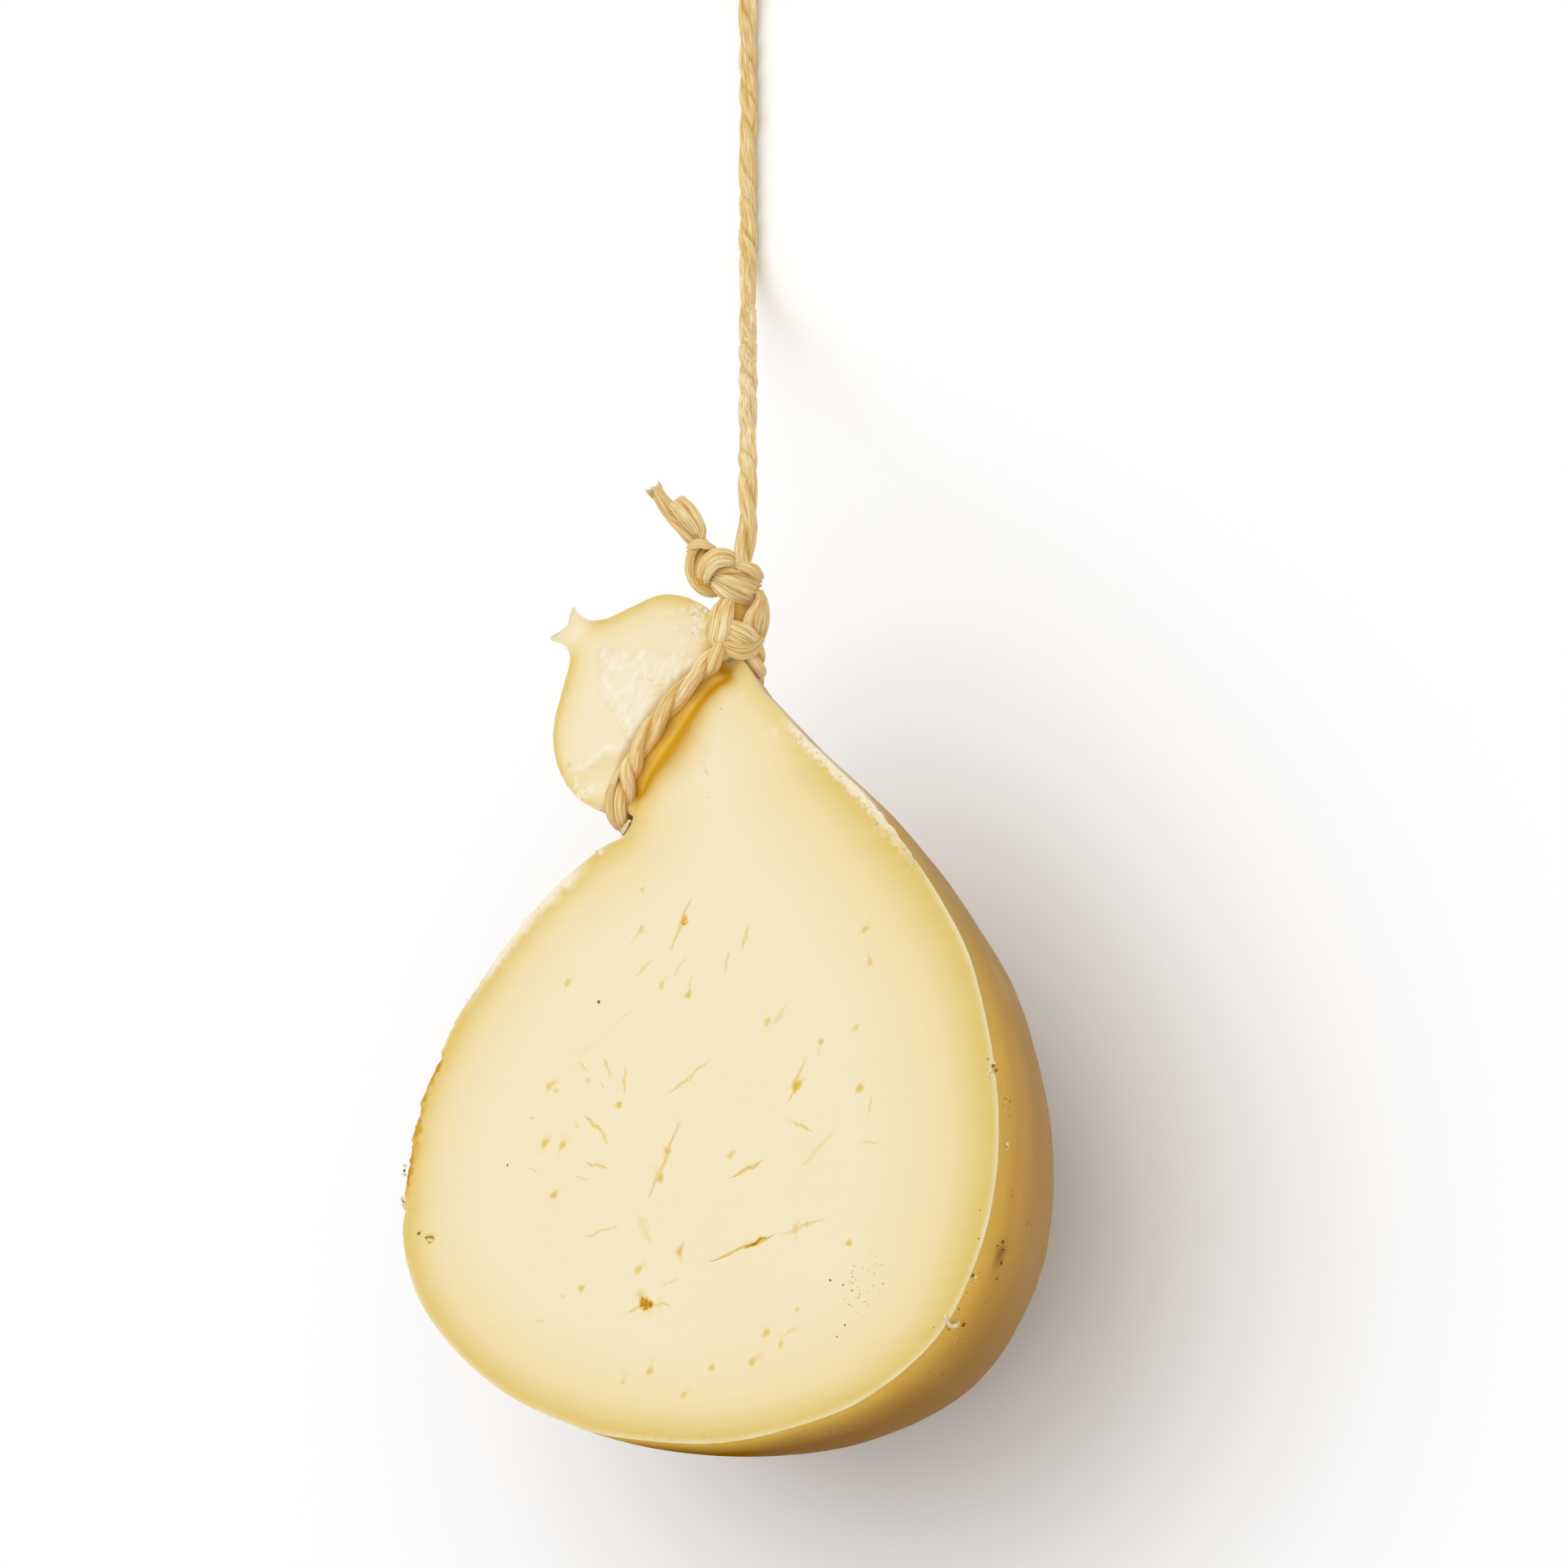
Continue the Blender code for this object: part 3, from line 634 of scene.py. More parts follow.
# The cut's left and right edge in rows down the body, and in rows down the head by the neck's line:
# how far out the row is, how far left and right it reaches, and how deep the head is there
body_edges = [
    (-19.9, 82.2, 12.7, 116.2),
    (-20.6, 81.7, 15.9, 112.6),
    (-21.3, 81.4, 20.5, 107.5),
    (-22.3, 81.1, 25.7, 101.3),
    (-24.3, 80.5, 30.6, 95.4),
    (-29.0, 78.2, 34.9, 90.8),
    (-38.2, 72.9, 41.4, 84.0),
    (-48.8, 64.5, 48.3, 76.2),
    (-60.0, 53.0, 57.0, 64.5),
    (-70.3, 39.9, 66.5, 49.4),
    (-77.8, 24.5, 74.5, 33.2),
    (-81.2, 6.0, 79.6, 13.0),
    (-80.6, -9.0, 81.6, -6.0),
    (-76.0, -22.3, 80.0, -24.0),
    (-66.0, -35.6, 74.5, -40.0),
    (-52.0, -48.0, 65.0, -54.0),
    (-36.0, -57.3, 50.0, -63.4),
    (-20.0, -63.7, 34.0, -67.9),
    (*foot, *foot),
]
head_edges = [
    (46.1, 1.2, 10.8, 1.3),
    (43.5, 2.0, 10.3, 2.4),
    (40.5, 1.8, 10.6, 3.8),
    (37.9, -0.4, 12.0, 6.0),
    (35.3, -6.0, 14.4, 9.6),
    (31.5, -13.8, 19.5, 15.0),
    (26.5, -19.2, 25.6, 20.5),
    (19.0, -23.2, 29.0, 25.2),
    (11.5, -24.4, 29.4, 26.4),
    (7.0, -23.9, 26.0, 25.0),
    (4.6, -22.8, 22.6, 23.0),
    (3.4, -21.8, 21.2, 21.8),
]


def smooth_rows(rows, after=None):
    """Rows of numbers on a smooth curve through the given rows, about as far apart as row_spacing."""
    rows = np.array(rows, float)
    after = 2 * rows[-1] - rows[-2] if after is None else np.array(after)
    padded = np.vstack((2 * rows[0] - rows[1], rows, after))
    made = []
    for four in zip(padded, padded[1:], padded[2:], padded[3:]):
        gap = np.abs(four[2] - four[1])
        steps = max(1, math.ceil(max(math.hypot(*gap[:2]), math.hypot(*gap[2:])) / row_spacing))
        made += [smooth_between(*four, step / steps) for step in range(steps)]
    return np.array([*made, rows[-1]])


def by_neck(along, out):
    """Places on the cut face, so far along the neck's line and out from it towards the head."""
    return neck_middle + np.outer(along, neck_along) + np.outer(out, neck_out)


def from_neck(places):
    """How far places are along the neck's line, and out from it towards the head."""
    return (places - neck_middle) @ neck_along, (places - neck_middle) @ neck_out


def drop_to_edge(across):
    """How far the neck's section has fallen from its middle, up to 1 at its edge."""
    return 1 - np.clip(1 - np.abs(across) ** neck_squareness, 0, 1) ** (1 / neck_squareness)


def twine_line(along):
    """How far the twine's line bends towards the head over the cut face."""
    return face_bend_height * np.clip(1 - np.abs(along / neck_half_width) ** 3, 0, 1)


def groove_distance(places):
    """How far places are from the side of the groove that the twine cuts, and from its line."""
    along, out = from_neck(places)
    out = out - twine_line(along)
    beyond = np.clip(np.abs(along) - neck_half_width - channel_half_width, 0, None)
    return np.clip(np.hypot(beyond, out) - channel_half_width, 0, None), out


def groove_sink(places, across, spread):
    """How far the face has sunk beside the twine; at its ends the body stays up against it."""
    distance, side = groove_distance(places)
    along, _ = from_neck(places)
    sink = neck_sink * np.exp(-((distance / spread) ** 2))
    sink += neck_corner_drop * drop_to_edge(across) * np.exp(-((distance / corner_spread) ** 2))
    held = np.clip((along - 7) / 11, 0, 1) * 0.85 + np.clip((-14 - along) / 5, 0, 1) * 0.55
    return sink * np.where(side < 0, 0.78 * (1 - held), 0.66)


def cheese_sections():
    """Each section's left and right edge, its depth, and its groove's reach, nipple to foot."""
    head = smooth_rows(head_edges)
    lefts = by_neck(head[:, 1], head[:, 0])
    rights = by_neck(head[:, 2], head[:, 0])
    depths = head[:, 3]
    spreads = np.full(len(head), head_crease_spread)
    outs = np.linspace(channel_half_width, -channel_half_width, neck_rows)
    lefts = np.vstack((lefts, by_neck(np.full(neck_rows, -neck_half_width), outs)))
    rights = np.vstack((rights, by_neck(np.full(neck_rows, neck_half_width), outs)))
    depths = np.append(depths, np.full(neck_rows, neck_depth))
    spreads = np.append(spreads, np.full(neck_rows, head_crease_spread))
    mirrored = (*body_edges[-2][2:], *body_edges[-2][:2])
    body = smooth_rows(body_edges, after=mirrored)[:-1]
    middle_y = (body[:, 1] + body[:, 3]) / 2
    half = np.hypot(body[:, 2] - body[:, 0], body[:, 3] - body[:, 1]) / 2
    # The body is as deep as half its width, and a little deeper towards the neck
    body_depths = half * np.clip(1 + 0.00075 * middle_y, 0.985, None)
    link = np.linspace(0, 1, link_rows + 2)[1:-1, None]
    neck_left, neck_right = lefts[-1], rights[-1]
    lefts = np.vstack((lefts, neck_left + (body[0, :2] - neck_left) * link, body[:, :2]))
    rights = np.vstack((rights, neck_right + (body[0, 2:] - neck_right) * link, body[:, 2:]))
    link_depths = neck_depth + (body_depths[0] - neck_depth) * link[:, 0]
    depths = np.concatenate((depths, link_depths, body_depths))
    spreads = np.append(spreads, np.full(link_rows + len(body), body_crease_spread))
    return lefts, rights, depths, spreads


def noisy(x, y, z=0.0, scale=1.0, detail=2):
    """Fractal noise from about -1 to 1 at each place, for features about so many millimetres wide."""
    places = np.broadcast_arrays(np.asarray(x, float), np.asarray(y, float), np.asarray(z, float))
    values = [
        noise.fractal((a / scale, b / scale, c / scale), 0.6, 2.1, detail)
        for a, b, c in zip(*(part.ravel() for part in places))
    ]
    return np.array(values)


def bump_at(value, centre, reach):
    """1 at the centre, down to 0 at the reach on either side."""
    return np.clip(1 - ((value - centre) / reach) ** 2, 0, 1) ** 2


def line_distance(places, line):
    """Each place's distance from a line of points, and how far along the line it is, 0 to 1."""
    line = np.array(line, float)
    starts, ends = line[:-1], line[1:]
    spans = ends - starts
    lengths = np.hypot(spans[:, 0], spans[:, 1])
    whole = np.concatenate(((0,), np.cumsum(lengths)))
    best = np.full(len(places), 1e9)
    where = np.zeros(len(places))
    for start, span, length, before in zip(starts, spans, lengths, whole):
        share = np.clip(((places - start) @ span) / max(length, 1e-6) ** 2, 0, 1)
        gap = places - start - share[:, None] * span
        distance = np.hypot(gap[:, 0], gap[:, 1])
        nearer = distance < best
        best[nearer] = distance[nearer]
        where[nearer] = (before + share[nearer] * length) / max(whole[-1], 1e-6)
    return best, where


# Eyes in the paste: x, y, radius, how deep and yellow. Their middles are gas holes from ripening
eyes = [
    (-14.3, 66.8, 0.65, 0.4), (-2.5, 56.8, 1.03, 1.0), (-14.5, 57.0, 0.75, 0.5), (46.9, 45.1, 0.65, 0.7),
    (48.2, 36.9, 0.75, 0.6), (-8.7, 42.1, 0.75, 0.5), (-1.3, 38.5, 0.84, 0.7), (-35.2, 48.0, 0.84, 0.6),
    (20.4, 27.9, 0.75, 0.6), (44.2, 21.9, 0.65, 0.5), (34.9, 20.4, 0.75, 0.8), (28.3, 11.1, 1.22, 1.0),
    (45.2, 7.4, 0.94, 0.8), (-20.4, 15.3, 0.84, 0.9), (-39.9, 23.5, 0.84, 0.6), (-38.0, 22.0, 0.65, 0.4),
    (-29.1, 22.8, 0.65, 0.4), (-32.0, 12.2, 0.56, 0.3), (-41.0, 9.7, 0.84, 0.8), (-36.0, 8.4, 0.84, 0.7),
    (-38.3, -3.3, 0.84, 0.9), (10.5, -2.3, 0.75, 0.6), (-3.3, -22.9, 0.84, 0.8), (42.3, -28.5, 0.84, 0.8),
    (-14.6, -25.2, 0.84, 0.7), (-30.3, -27.1, 0.84, 0.7), (-35.5, -28.2, 0.56, 0.3), (28.5, -41.7, 0.65, 0.5),
    (20.2, -45.8, 0.84, 0.7), (24.1, -49.1, 0.65, 0.6), (16.5, -51.9, 0.84, 0.7), (5.6, -51.6, 0.75, 0.6),
    (-11.3, -49.7, 0.84, 0.7), (-18.6, -51.1, 0.56, 0.4), (-2.0, -56.7, 0.65, 0.5), (-6.8, 1.7, 0.94, 0.7),
    (-8.8, -4.4, 0.94, 0.9), (28.0, -22.7, 0.75, 0.5), (30.9, -22.2, 0.65, 0.5), (-13.3, -33.2, 0.95, 1.4),
    (-12.3, -33.9, 1.05, 1.4), (-11.2, -34.0, 0.75, 1.4), (-73.3, -8.0, 1.10, 1.3), (-76.6, -6.0, 0.45, 1.3),
]

# Slits, torn along the stretch of the curd: both ends, half width, how deep and yellow
slits = [
    (-0.9, 61.3, -5.6, 51.9, 0.37, 0.7), (15.2, 51.9, 13.7, 47.1, 0.47, 0.5),
    (9.7, 46.9, 9.0, 42.3, 0.37, 0.5), (-11.7, 48.7, -15.5, 46.2, 0.37, 0.4),
    (-2.0, 47.8, -5.6, 43.7, 0.30, 0.3), (25.4, 30.5, 22.4, 27.2, 0.65, 0.3),
    (48.3, 4.8, 47.8, 1.0, 0.28, 0.5), (27.6, 2.7, 31.5, 0.1, 0.37, 0.7),
    (3.8, 20.9, -5.4, 16.1, 0.37, 0.6), (-18.7, 23.8, -18.9, 18.3, 0.34, 0.6),
    (-24.6, 27.1, -23.2, 24.3, 0.34, 0.6), (-31.9, 27.8, -28.9, 25.1, 0.28, 0.4),
    (-25.3, 21.3, -24.6, 20.4, 0.28, 0.4), (-29.5, 14.0, -25.1, 9.8, 0.41, 0.8),
    (-25.1, 9.8, -23.5, 6.8, 0.37, 0.6), (-28.9, 2.8, -23.7, 0.8, 0.34, 0.7),
    (-45.3, 4.3, -42.8, 3.3, 0.22, 0.4), (-32.0, 0.1, -28.8, -1.1, 0.22, 0.4),
    (-4.0, 6.8, -11.5, -7.8, 0.47, 0.7), (11.6, -7.4, 18.4, -5.3, 0.49, 0.9),
    (45.8, -5.3, 49.7, -6.2, 0.28, 0.4), (38.7, -1.6, 29.4, -8.3, 0.56, 0.2),
    (-29.1, -14.7, -21.5, -14.0, 0.30, 0.5), (5.7, -26.5, 21.7, -23.3, 0.41, 1.0),
    (14.3, -24.7, 20.2, -23.4, 0.36, 1.3), (25.0, -23.3, 34.8, -21.7, 0.37, 0.5),
    (-6.6, -29.7, -3.3, -29.2, 0.24, 0.4), (25.0, -47.0, 28.5, -45.8, 0.37, 0.4),
    (-42.9, -32.8, -40.4, -33.2, 0.28, 0.3), (3.0, 93.9, 4.1, 91.0, 0.30, 0.4),
    (-14.5, -12.9, -11.4, -18.8, 1.12, 0.2), (30.3, 16.0, 26.5, 8.3, 0.45, 0.7),
    (-0.2, 43.1, -1.3, 38.5, 0.28, 0.4), (-16.8, -34.7, -12.8, -33.6, 0.37, 0.7),
    (-12.8, -33.6, -6.1, -34.9, 0.37, 0.6), (-3.3, -22.9, -2.0, -20.6, 0.28, 0.5),
    (-14.5, 57.0, -16.7, 55.0, 0.28, 0.4), (34.9, 20.4, 34.4, 17.2, 0.20, 0.4),
    (-13.4, 39.4, -25.6, 33.2, 0.16, 0.2), (-25.6, 33.2, -34.7, 26.2, 0.16, 0.2),
    (-25.5, 125.5, -23.9, 123.1, 0.22, 0.4),
]

# The head's cut is torn inside its smooth skin, where the folded curd never knitted together
torn_edge = [
    (-27.9, 129.8), (-26.3, 131.3), (-25.0, 129.7), (-20.5, 128.6), (-18.4, 127.0), (-15.7, 127.7),
    (-11.5, 126.7), (-8.9, 124.9), (-5.3, 124.4), (-1.6, 122.4), (2.3, 119.4), (0.0, 112.0),
    (-8.3, 106.5), (-15.5, 102.8), (-18.7, 104.9), (-21.1, 109.6), (-24.0, 114.0), (-27.8, 120.4),
    (-27.0, 124.5),
]
# Ridges where the folds meet: the line, half width, rise
fold_ridges = [
    (
        ((-35.2, 100.7), (-31.2, 101.1), (-28.6, 101.9), (-25.0, 104.4), (-21.3, 103.8), (-17.4, 103.9)),
        1.1, 0.30,
    ),
    (((-27.6, 124.6), (-24.1, 119.6), (-21.4, 115.3), (-17.7, 108.9), (-15.5, 105.2)), 1.5, 0.22),
    (((-34.0, 99.4), (-33.2, 97.4), (-33.6, 95.4)), 0.8, 0.22),
]
# The hollow between two folds: middle, and half its length and width
fold_hollow = (-26.5, 99.4, 9.0, 3.4)
# Lines where layers of curd show at their edge
layer_lines = [
    ((-15.2, 120.5), (-12.5, 119.0), (-9.4, 118.5), (-7.3, 118.7), (-5.0, 116.6)),
    ((-11.5, 117.6), (-8.3, 117.1), (-6.3, 116.4)),
    ((-12.5, 117.1), (-10.4, 115.9), (-8.3, 116.2), (-6.0, 115.2)),
    ((-12.5, 115.2), (-8.8, 114.9), (-6.5, 113.9)),
]
# Small pits: middle and radius
head_pits = [
    (-32.2, 96.8, 0.7), (-30.4, 95.5, 0.6), (-33.5, 95.5, 0.5),
    (-35.5, 102.4, 0.6), (-30.9, 98.7, 0.4),
]
# Patches of pale flakes: middle, and half sizes across and up
pale_patches = [
    (-17.2, 109.9, 3.4, 2.2), (-13.8, 109.4, 1.8, 1.4), (-17.4, 112.4, 2.0, 0.9), (1.4, 131.0, 2.2, 4.6),
    (-4.8, 130.8, 0.7, 0.6), (-3.2, 134.7, 0.7, 0.5), (-6.1, 135.1, 0.6, 0.4), (-3.2, 126.7, 1.3, 0.9),
    (-4.7, 123.8, 2.2, 0.7), (13.7, 109.5, 0.7, 0.5), (22.1, 99.0, 0.9, 0.6), (-26.0, 78.7, 0.9, 0.6),
    (-34.8, 72.6, 1.3, 0.7), (-49.1, 24.0, 0.7, 0.3), (-31.0, 94.5, 2.2, 1.6),
]
# Stretches of the rim: crumbled by the knife on the right, ragged on the left and scraped above that
burr_line = [(24.3, 103.0), (34.9, 90.8), (48.3, 76.2), (57.0, 64.5), (61.6, 57.5)]
ragged_line = [(-66.0, 46.0), (-70.3, 39.9), (-77.8, 24.5), (-81.2, 6.0), (-80.9, -4.0)]
upper_left_line = [(-29.0, 78.2), (-38.5, 73.3), (-49.7, 65.4), (-61.4, 54.2), (-67.6, 47.2)]
# Nicks in the rim: middle, depth and reach
rim_nicks = [(-72.6, 36.5, 0.8, 1.6), (81.4, 5.6, 1.0, 1.8)]
# Under the knot the body bulges up to the twine
bulge_middle = (10.6, 116.6)
bulge_height = 3.3
bulge_reach = 10
bulge_way = (0.30, 0.95)


def is_inside(places, loop):
    """Whether each place is inside a closed line."""
    loop = np.array(loop, float)
    inside = np.zeros(len(places), bool)
    for (x0, y0), (x1, y1) in zip(loop, np.roll(loop, -1, axis=0)):
        if y0 == y1:
            continue
        crosses = (places[:, 1] > min(y0, y1)) & (places[:, 1] <= max(y0, y1))
        inside ^= crosses & (places[:, 0] < x0 + (places[:, 1] - y0) * (x1 - x0) / (y1 - y0))
    return inside


def slit_line(x0, y0, x1, y1):
    """A slit wavers a little between its ends."""
    length = math.hypot(x1 - x0, y1 - y0)
    sway = min(0.4, 0.06 * length)
    line = [(x0, y0)]
    for share in (0.25, 0.5, 0.75):
        off = sway * math.sin(9 * share + 3 * x0 + 5 * y0) / length
        line.append((x0 + (x1 - x0) * share - (y1 - y0) * off, y0 + (y1 - y0) * share + (x1 - x0) * off))
    return [*line, (x1, y1)]


def ends_faded(where, start, end):
    """1 along a line, down to 0 over 1/start of it at its start and 1/end of it at its end."""
    return np.clip(start * where, 0, 1) * np.clip(end * (1 - where), 0, 1)


# Eyes and slits that are stronger than this are brown inside
browned_strength = 1.2


def sink_eyes(x, y, height, gold, warm):
    """Sinks the eyes into the face, painted golden inside for the light that scatters in them."""
    for ex, ey, radius, strength in eyes:
        # Each is drawn out along the stretch, to one side more than to the other
        lean = 1.15 + 0.55 * math.sin(7 * ex + 3 * ey)
        ahead = (x - ex) * math.cos(lean) + (y - ey) * math.sin(lean)
        over = (x - ex) * math.sin(lean) - (y - ey) * math.cos(lean)
        longer = 1 + 0.25 * math.sin(5 * ex)
        near = np.hypot(over * 1.12, ahead * np.where(ahead > 0, 0.78, 1.0) / longer) / radius
        bearing = np.arctan2(over, ahead)
        near *= 1 + 0.14 * np.sin(3 * bearing + ex) + 0.10 * np.sin(5 * bearing + ey)
        height -= radius * (0.08 + 0.34 * strength) * np.clip(1 - near**2, 0, 1) ** 0.7
        hue = 0.15 + 0.75 * min(1.0, strength)
        np.maximum(gold, hue * np.clip((1.55 - near) * 1.05, 0, 1), out=gold)
        if strength > browned_strength:
            np.maximum(warm, 0.84 * np.clip((1.2 - near) * 2, 0, 1), out=warm)


def tear_slits(places, height, gold, warm):
    """Tears the slits into the face, widest half way along, and painted golden inside for scattered light."""
    for slit in slits:
        half, strength = slit[4:]
        gap, where = line_distance(places, slit_line(*slit[:4]))
        taper = half * np.sqrt(np.clip(1 - (2 * where - 1) ** 2, 0.02, 1))
        taper *= 1 + 0.35 * np.sin(where * 13 + slit[0]) * np.sin(where * 6 + slit[1])
        near = gap / taper
        height -= 0.7 * half * min(strength, 1.0) * np.clip(1 - near**2, 0, 1) ** 0.7
        hue = 0.10 + 0.62 * strength
        np.maximum(gold, hue * np.clip(1.5 - near, 0, 1), out=gold)
        if strength > browned_strength:
            np.maximum(warm, 0.76 * np.clip((1.3 - near) * 1.5, 0, 1), out=warm)


def torn_head(places):
    """The relief of the head's cut at each place, and how golden and how white it is."""
    x, y = places.T
    torn_gap, _ = line_distance(places, torn_edge + torn_edge[:1])
    inwards = np.where(is_inside(places, torn_edge), torn_gap, -torn_gap)
    torn = np.clip(inwards / 0.9 + 0.2, 0, 1)
    coarse = noisy(x * 0.83 + y * 0.55, (y * 0.83 - x * 0.55) * 1.9, 1.0, 5.5)
    fine = noisy(x, y * 1.4, 2.0, 1.4)
    relief = -0.45 * torn + torn * (0.36 * np.abs(coarse) + 0.10 * fine)
    relief += 0.10 * coarse * (1 - torn)
    lip = bump_at(inwards, -0.1, 1.0)
    relief += 0.22 * lip * (0.5 + np.abs(fine))
    gold = 0.10 * lip
    flakes = noisy(x * 0.6 + y * 0.8, (y * 0.6 - x * 0.8) * 2.2, 6.0, 3.4, 3)
    flaky = np.clip((flakes - 0.02) * 7, 0, 1) * torn
    relief += 0.24 * flaky
    white = 0.30 * lip * np.clip(fine + 0.4, 0, 1)
    white += (0.20 + 0.52 * np.clip(flakes * 3.0 + 0.1, 0, 1)) * torn
    for line, width, rise in fold_ridges:
        gap, where = line_distance(places, line)
        crest = bump_at(gap + 0.55 * fine, 0, width) * np.clip(6 * where, 0, 1)
        crest *= np.clip(6 * (1 - where), 0.2, 1)
        relief += rise * crest * (1 + 0.6 * fine)
        white = np.maximum(white, 0.85 * crest)
    hx, hy, half_long, half_wide = fold_hollow
    hollow = np.clip(1 - (((x - hx) / half_long) ** 2 + ((y - hy) / half_wide) ** 2), 0, 1)
    relief -= 0.9 * hollow
    gold = np.maximum(gold, 0.22 * np.sqrt(hollow))
    for line in layer_lines:
        gap, _ = line_distance(places, line)
        cut = bump_at(gap + 0.2 * fine, 0, 0.55)
        relief -= 0.20 * cut
        gold = np.maximum(gold, 0.42 * cut)
    for px, py, radius in head_pits:
        near = np.hypot(x - px, y - py) / radius
        relief -= 0.6 * radius * np.sqrt(np.clip(1 - near**2, 0, 1))
        gold = np.maximum(gold, 0.4 * np.clip(1.2 - near, 0, 1))
    return relief, gold, white


def flake_patches(x, y, height, white):
    """Raises small pale flakes of dry paste on the face."""
    for px, py, rx, ry in pale_patches:
        near = np.hypot((x - px) / rx, (y - py) / ry)
        close = np.where(near < 1.6)[0]
        grain = noisy(x[close], y[close], 5.0, 0.8)
        flake = np.clip(1.5 - near[close] + 0.7 * grain, 0, 1) * np.clip(0.45 + grain, 0, 1)
        white[close] = np.maximum(white[close], flake)
        height[close] += 0.22 * flake


def roughen_rims(places, rim_gap, height, white, warm):
    """The knife dragged the paste up, pale, along two stretches of the rim, and rolled a third over."""
    x, y = places.T
    for line, width, rise, paleness, rough in (
        (burr_line, 2.6, 0.50, 0.80, 1.0),
        (upper_left_line, 3.2, 0.14, 0.85, 0.60),
    ):
        gap, where = line_distance(places, line)
        if line is upper_left_line:
            # This one follows the rim, and narrows downwards
            gap = np.where(gap < 6, rim_gap / (1.15 - 0.6 * where), 99)
        close = np.where(gap < width * 1.6)[0]
        grain = noisy(x[close], y[close], 7.0, 1.1)
        ends = ends_faded(where[close], 7, 3.4)
        crumb = np.clip(1.8 * (1 - gap[close] / width) + rough * grain, 0, 1) * ends
        white[close] = np.maximum(white[close], paleness * crumb)
        height[close] += rise * crumb * np.abs(grain + 0.3)
    gap, where = line_distance(places, ragged_line)
    close = np.where(gap < 6)[0]
    grain = noisy(x[close], y[close], 9.0, 2.3)
    rolled = np.clip(1 - (gap[close] + 1.2 * grain) / 4.2, 0, 1) * ends_faded(where[close], 5, 5)
    height[close] -= 1.1 * rolled**2
    warm[close] = np.maximum(warm[close], 0.72 * rolled**1.1)


def cut_face(places, rim_gap):
    """The cut face's height over its plane, in millimetres, and how it is coloured, at each place."""
    x, y = places.T
    along, out = from_neck(places)
    groove, side = groove_distance(places)
    spread = np.where(side > 0, head_crease_spread, body_crease_spread)
    height = -groove_sink(places, np.clip(along / neck_half_width, -1, 1), spread)
    height += 0.07 * noisy(x, y, 3.0, 16.0) * np.clip(rim_gap / 6, 0, 1)
    gold, white, warm = np.zeros((3, len(places)))
    sink_eyes(x, y, height, gold, warm)
    tear_slits(places, height, gold, warm)
    head = np.where((side > 0) & (out > channel_half_width))[0]
    relief, head_gold, head_white = torn_head(places[head])
    height[head] += relief * np.clip(groove[head] / 1.5, 0, 1) * np.clip(rim_gap[head] / 2.0, 0, 1)
    gold[head] = np.maximum(gold[head], head_gold)
    white[head] = np.maximum(white[head], head_white)
    flake_patches(x, y, height, white)
    roughen_rims(places, rim_gap, height, white, warm)
    return height, np.clip(gold, 0, 1), np.clip(white, 0, 1), warm


# Places are wanted on rings round each eye, on rails along each slit, and in rows inside the rim
eye_rings = ((0.4, 7), (0.72, 11), (0.92, 14), (1.05, 14), (1.3, 12), (1.8, 10))
slit_rails = (-1.8, -1.2, -0.8, -0.4, 0, 0.4, 0.8, 1.2, 1.8)
rim_offsets = (0.35, 0.8, 1.4, 2.2, 3.2, 4.4)


def asked_points(loop, rims):
    """Places asked for on the cut face, each with the room it needs, the closest together first."""
    wanted = []

    def ask(px, py, spacing):
        wanted.append((spacing, px, py))

    for ex, ey, radius, _ in eyes:
        ask(ex, ey, 0.1)
        for share, count in eye_rings:
            for step in range(count):
                angle = math.tau * (step + share) / count
                wobble = 1 + 0.10 * math.sin(2 * angle + ex) + 0.07 * math.sin(3 * angle + ey)
                away = radius * share * wobble
                ask(ex + away * math.cos(angle), ey + away * math.sin(angle), 0.16)
    for slit in slits:
        half = slit[4]
        path = slit_line(*slit[:4])
        for (x0, y0), (x1, y1) in zip(path, path[1:]):
            length = math.hypot(x1 - x0, y1 - y0)
            ux, uy = (x1 - x0) / length, (y1 - y0) / length
            count = max(2, round(length / 0.35))
            for step in range(count + 1):
                share = step / count
                px, py = x0 + ux * length * share, y0 + uy * length * share
                for side in slit_rails:
                    offset = side * half * 0.9
                    ask(px - uy * offset, py + ux * offset, 0.10)

    def fill(low, high, spacing, keep):
        columns = np.arange(low[0], high[0], spacing)
        rows = np.arange(low[1], high[1], spacing * 0.87)
        grid = np.array([(cx + (row % 2) * spacing / 2, ry) for row, ry in enumerate(rows) for cx in columns])
        for px, py in grid[keep(grid)]:
            ask(px, py, spacing)

    fill((-46, 80), (24, 146), 0.62, lambda grid: (groove_distance(grid)[1] > -1) & (from_neck(grid)[1] > -2))
    fill((-34, 76), (24, 130), 0.62, lambda grid: groove_distance(grid)[0] < 7)
    fill((8, 54), (66, 120), 0.50, lambda grid: line_distance(grid, burr_line)[0] < 4.0)
    fill((-84, -8), (-60, 50), 0.70, lambda grid: line_distance(grid, ragged_line)[0] < 4.5)
    fill((-70, 44), (-24, 84), 0.55, lambda grid: line_distance(grid, upper_left_line)[0] < 2.5)
    fill((-86, -74), (86, 130), 1.9, lambda grid: np.ones(len(grid), bool))
    for offset in rim_offsets:
        for px, py in loop - rims * offset:
            ask(px, py, 0.5 + offset * 0.3)
    return np.array(sorted(wanted, key=lambda want: want[0]))


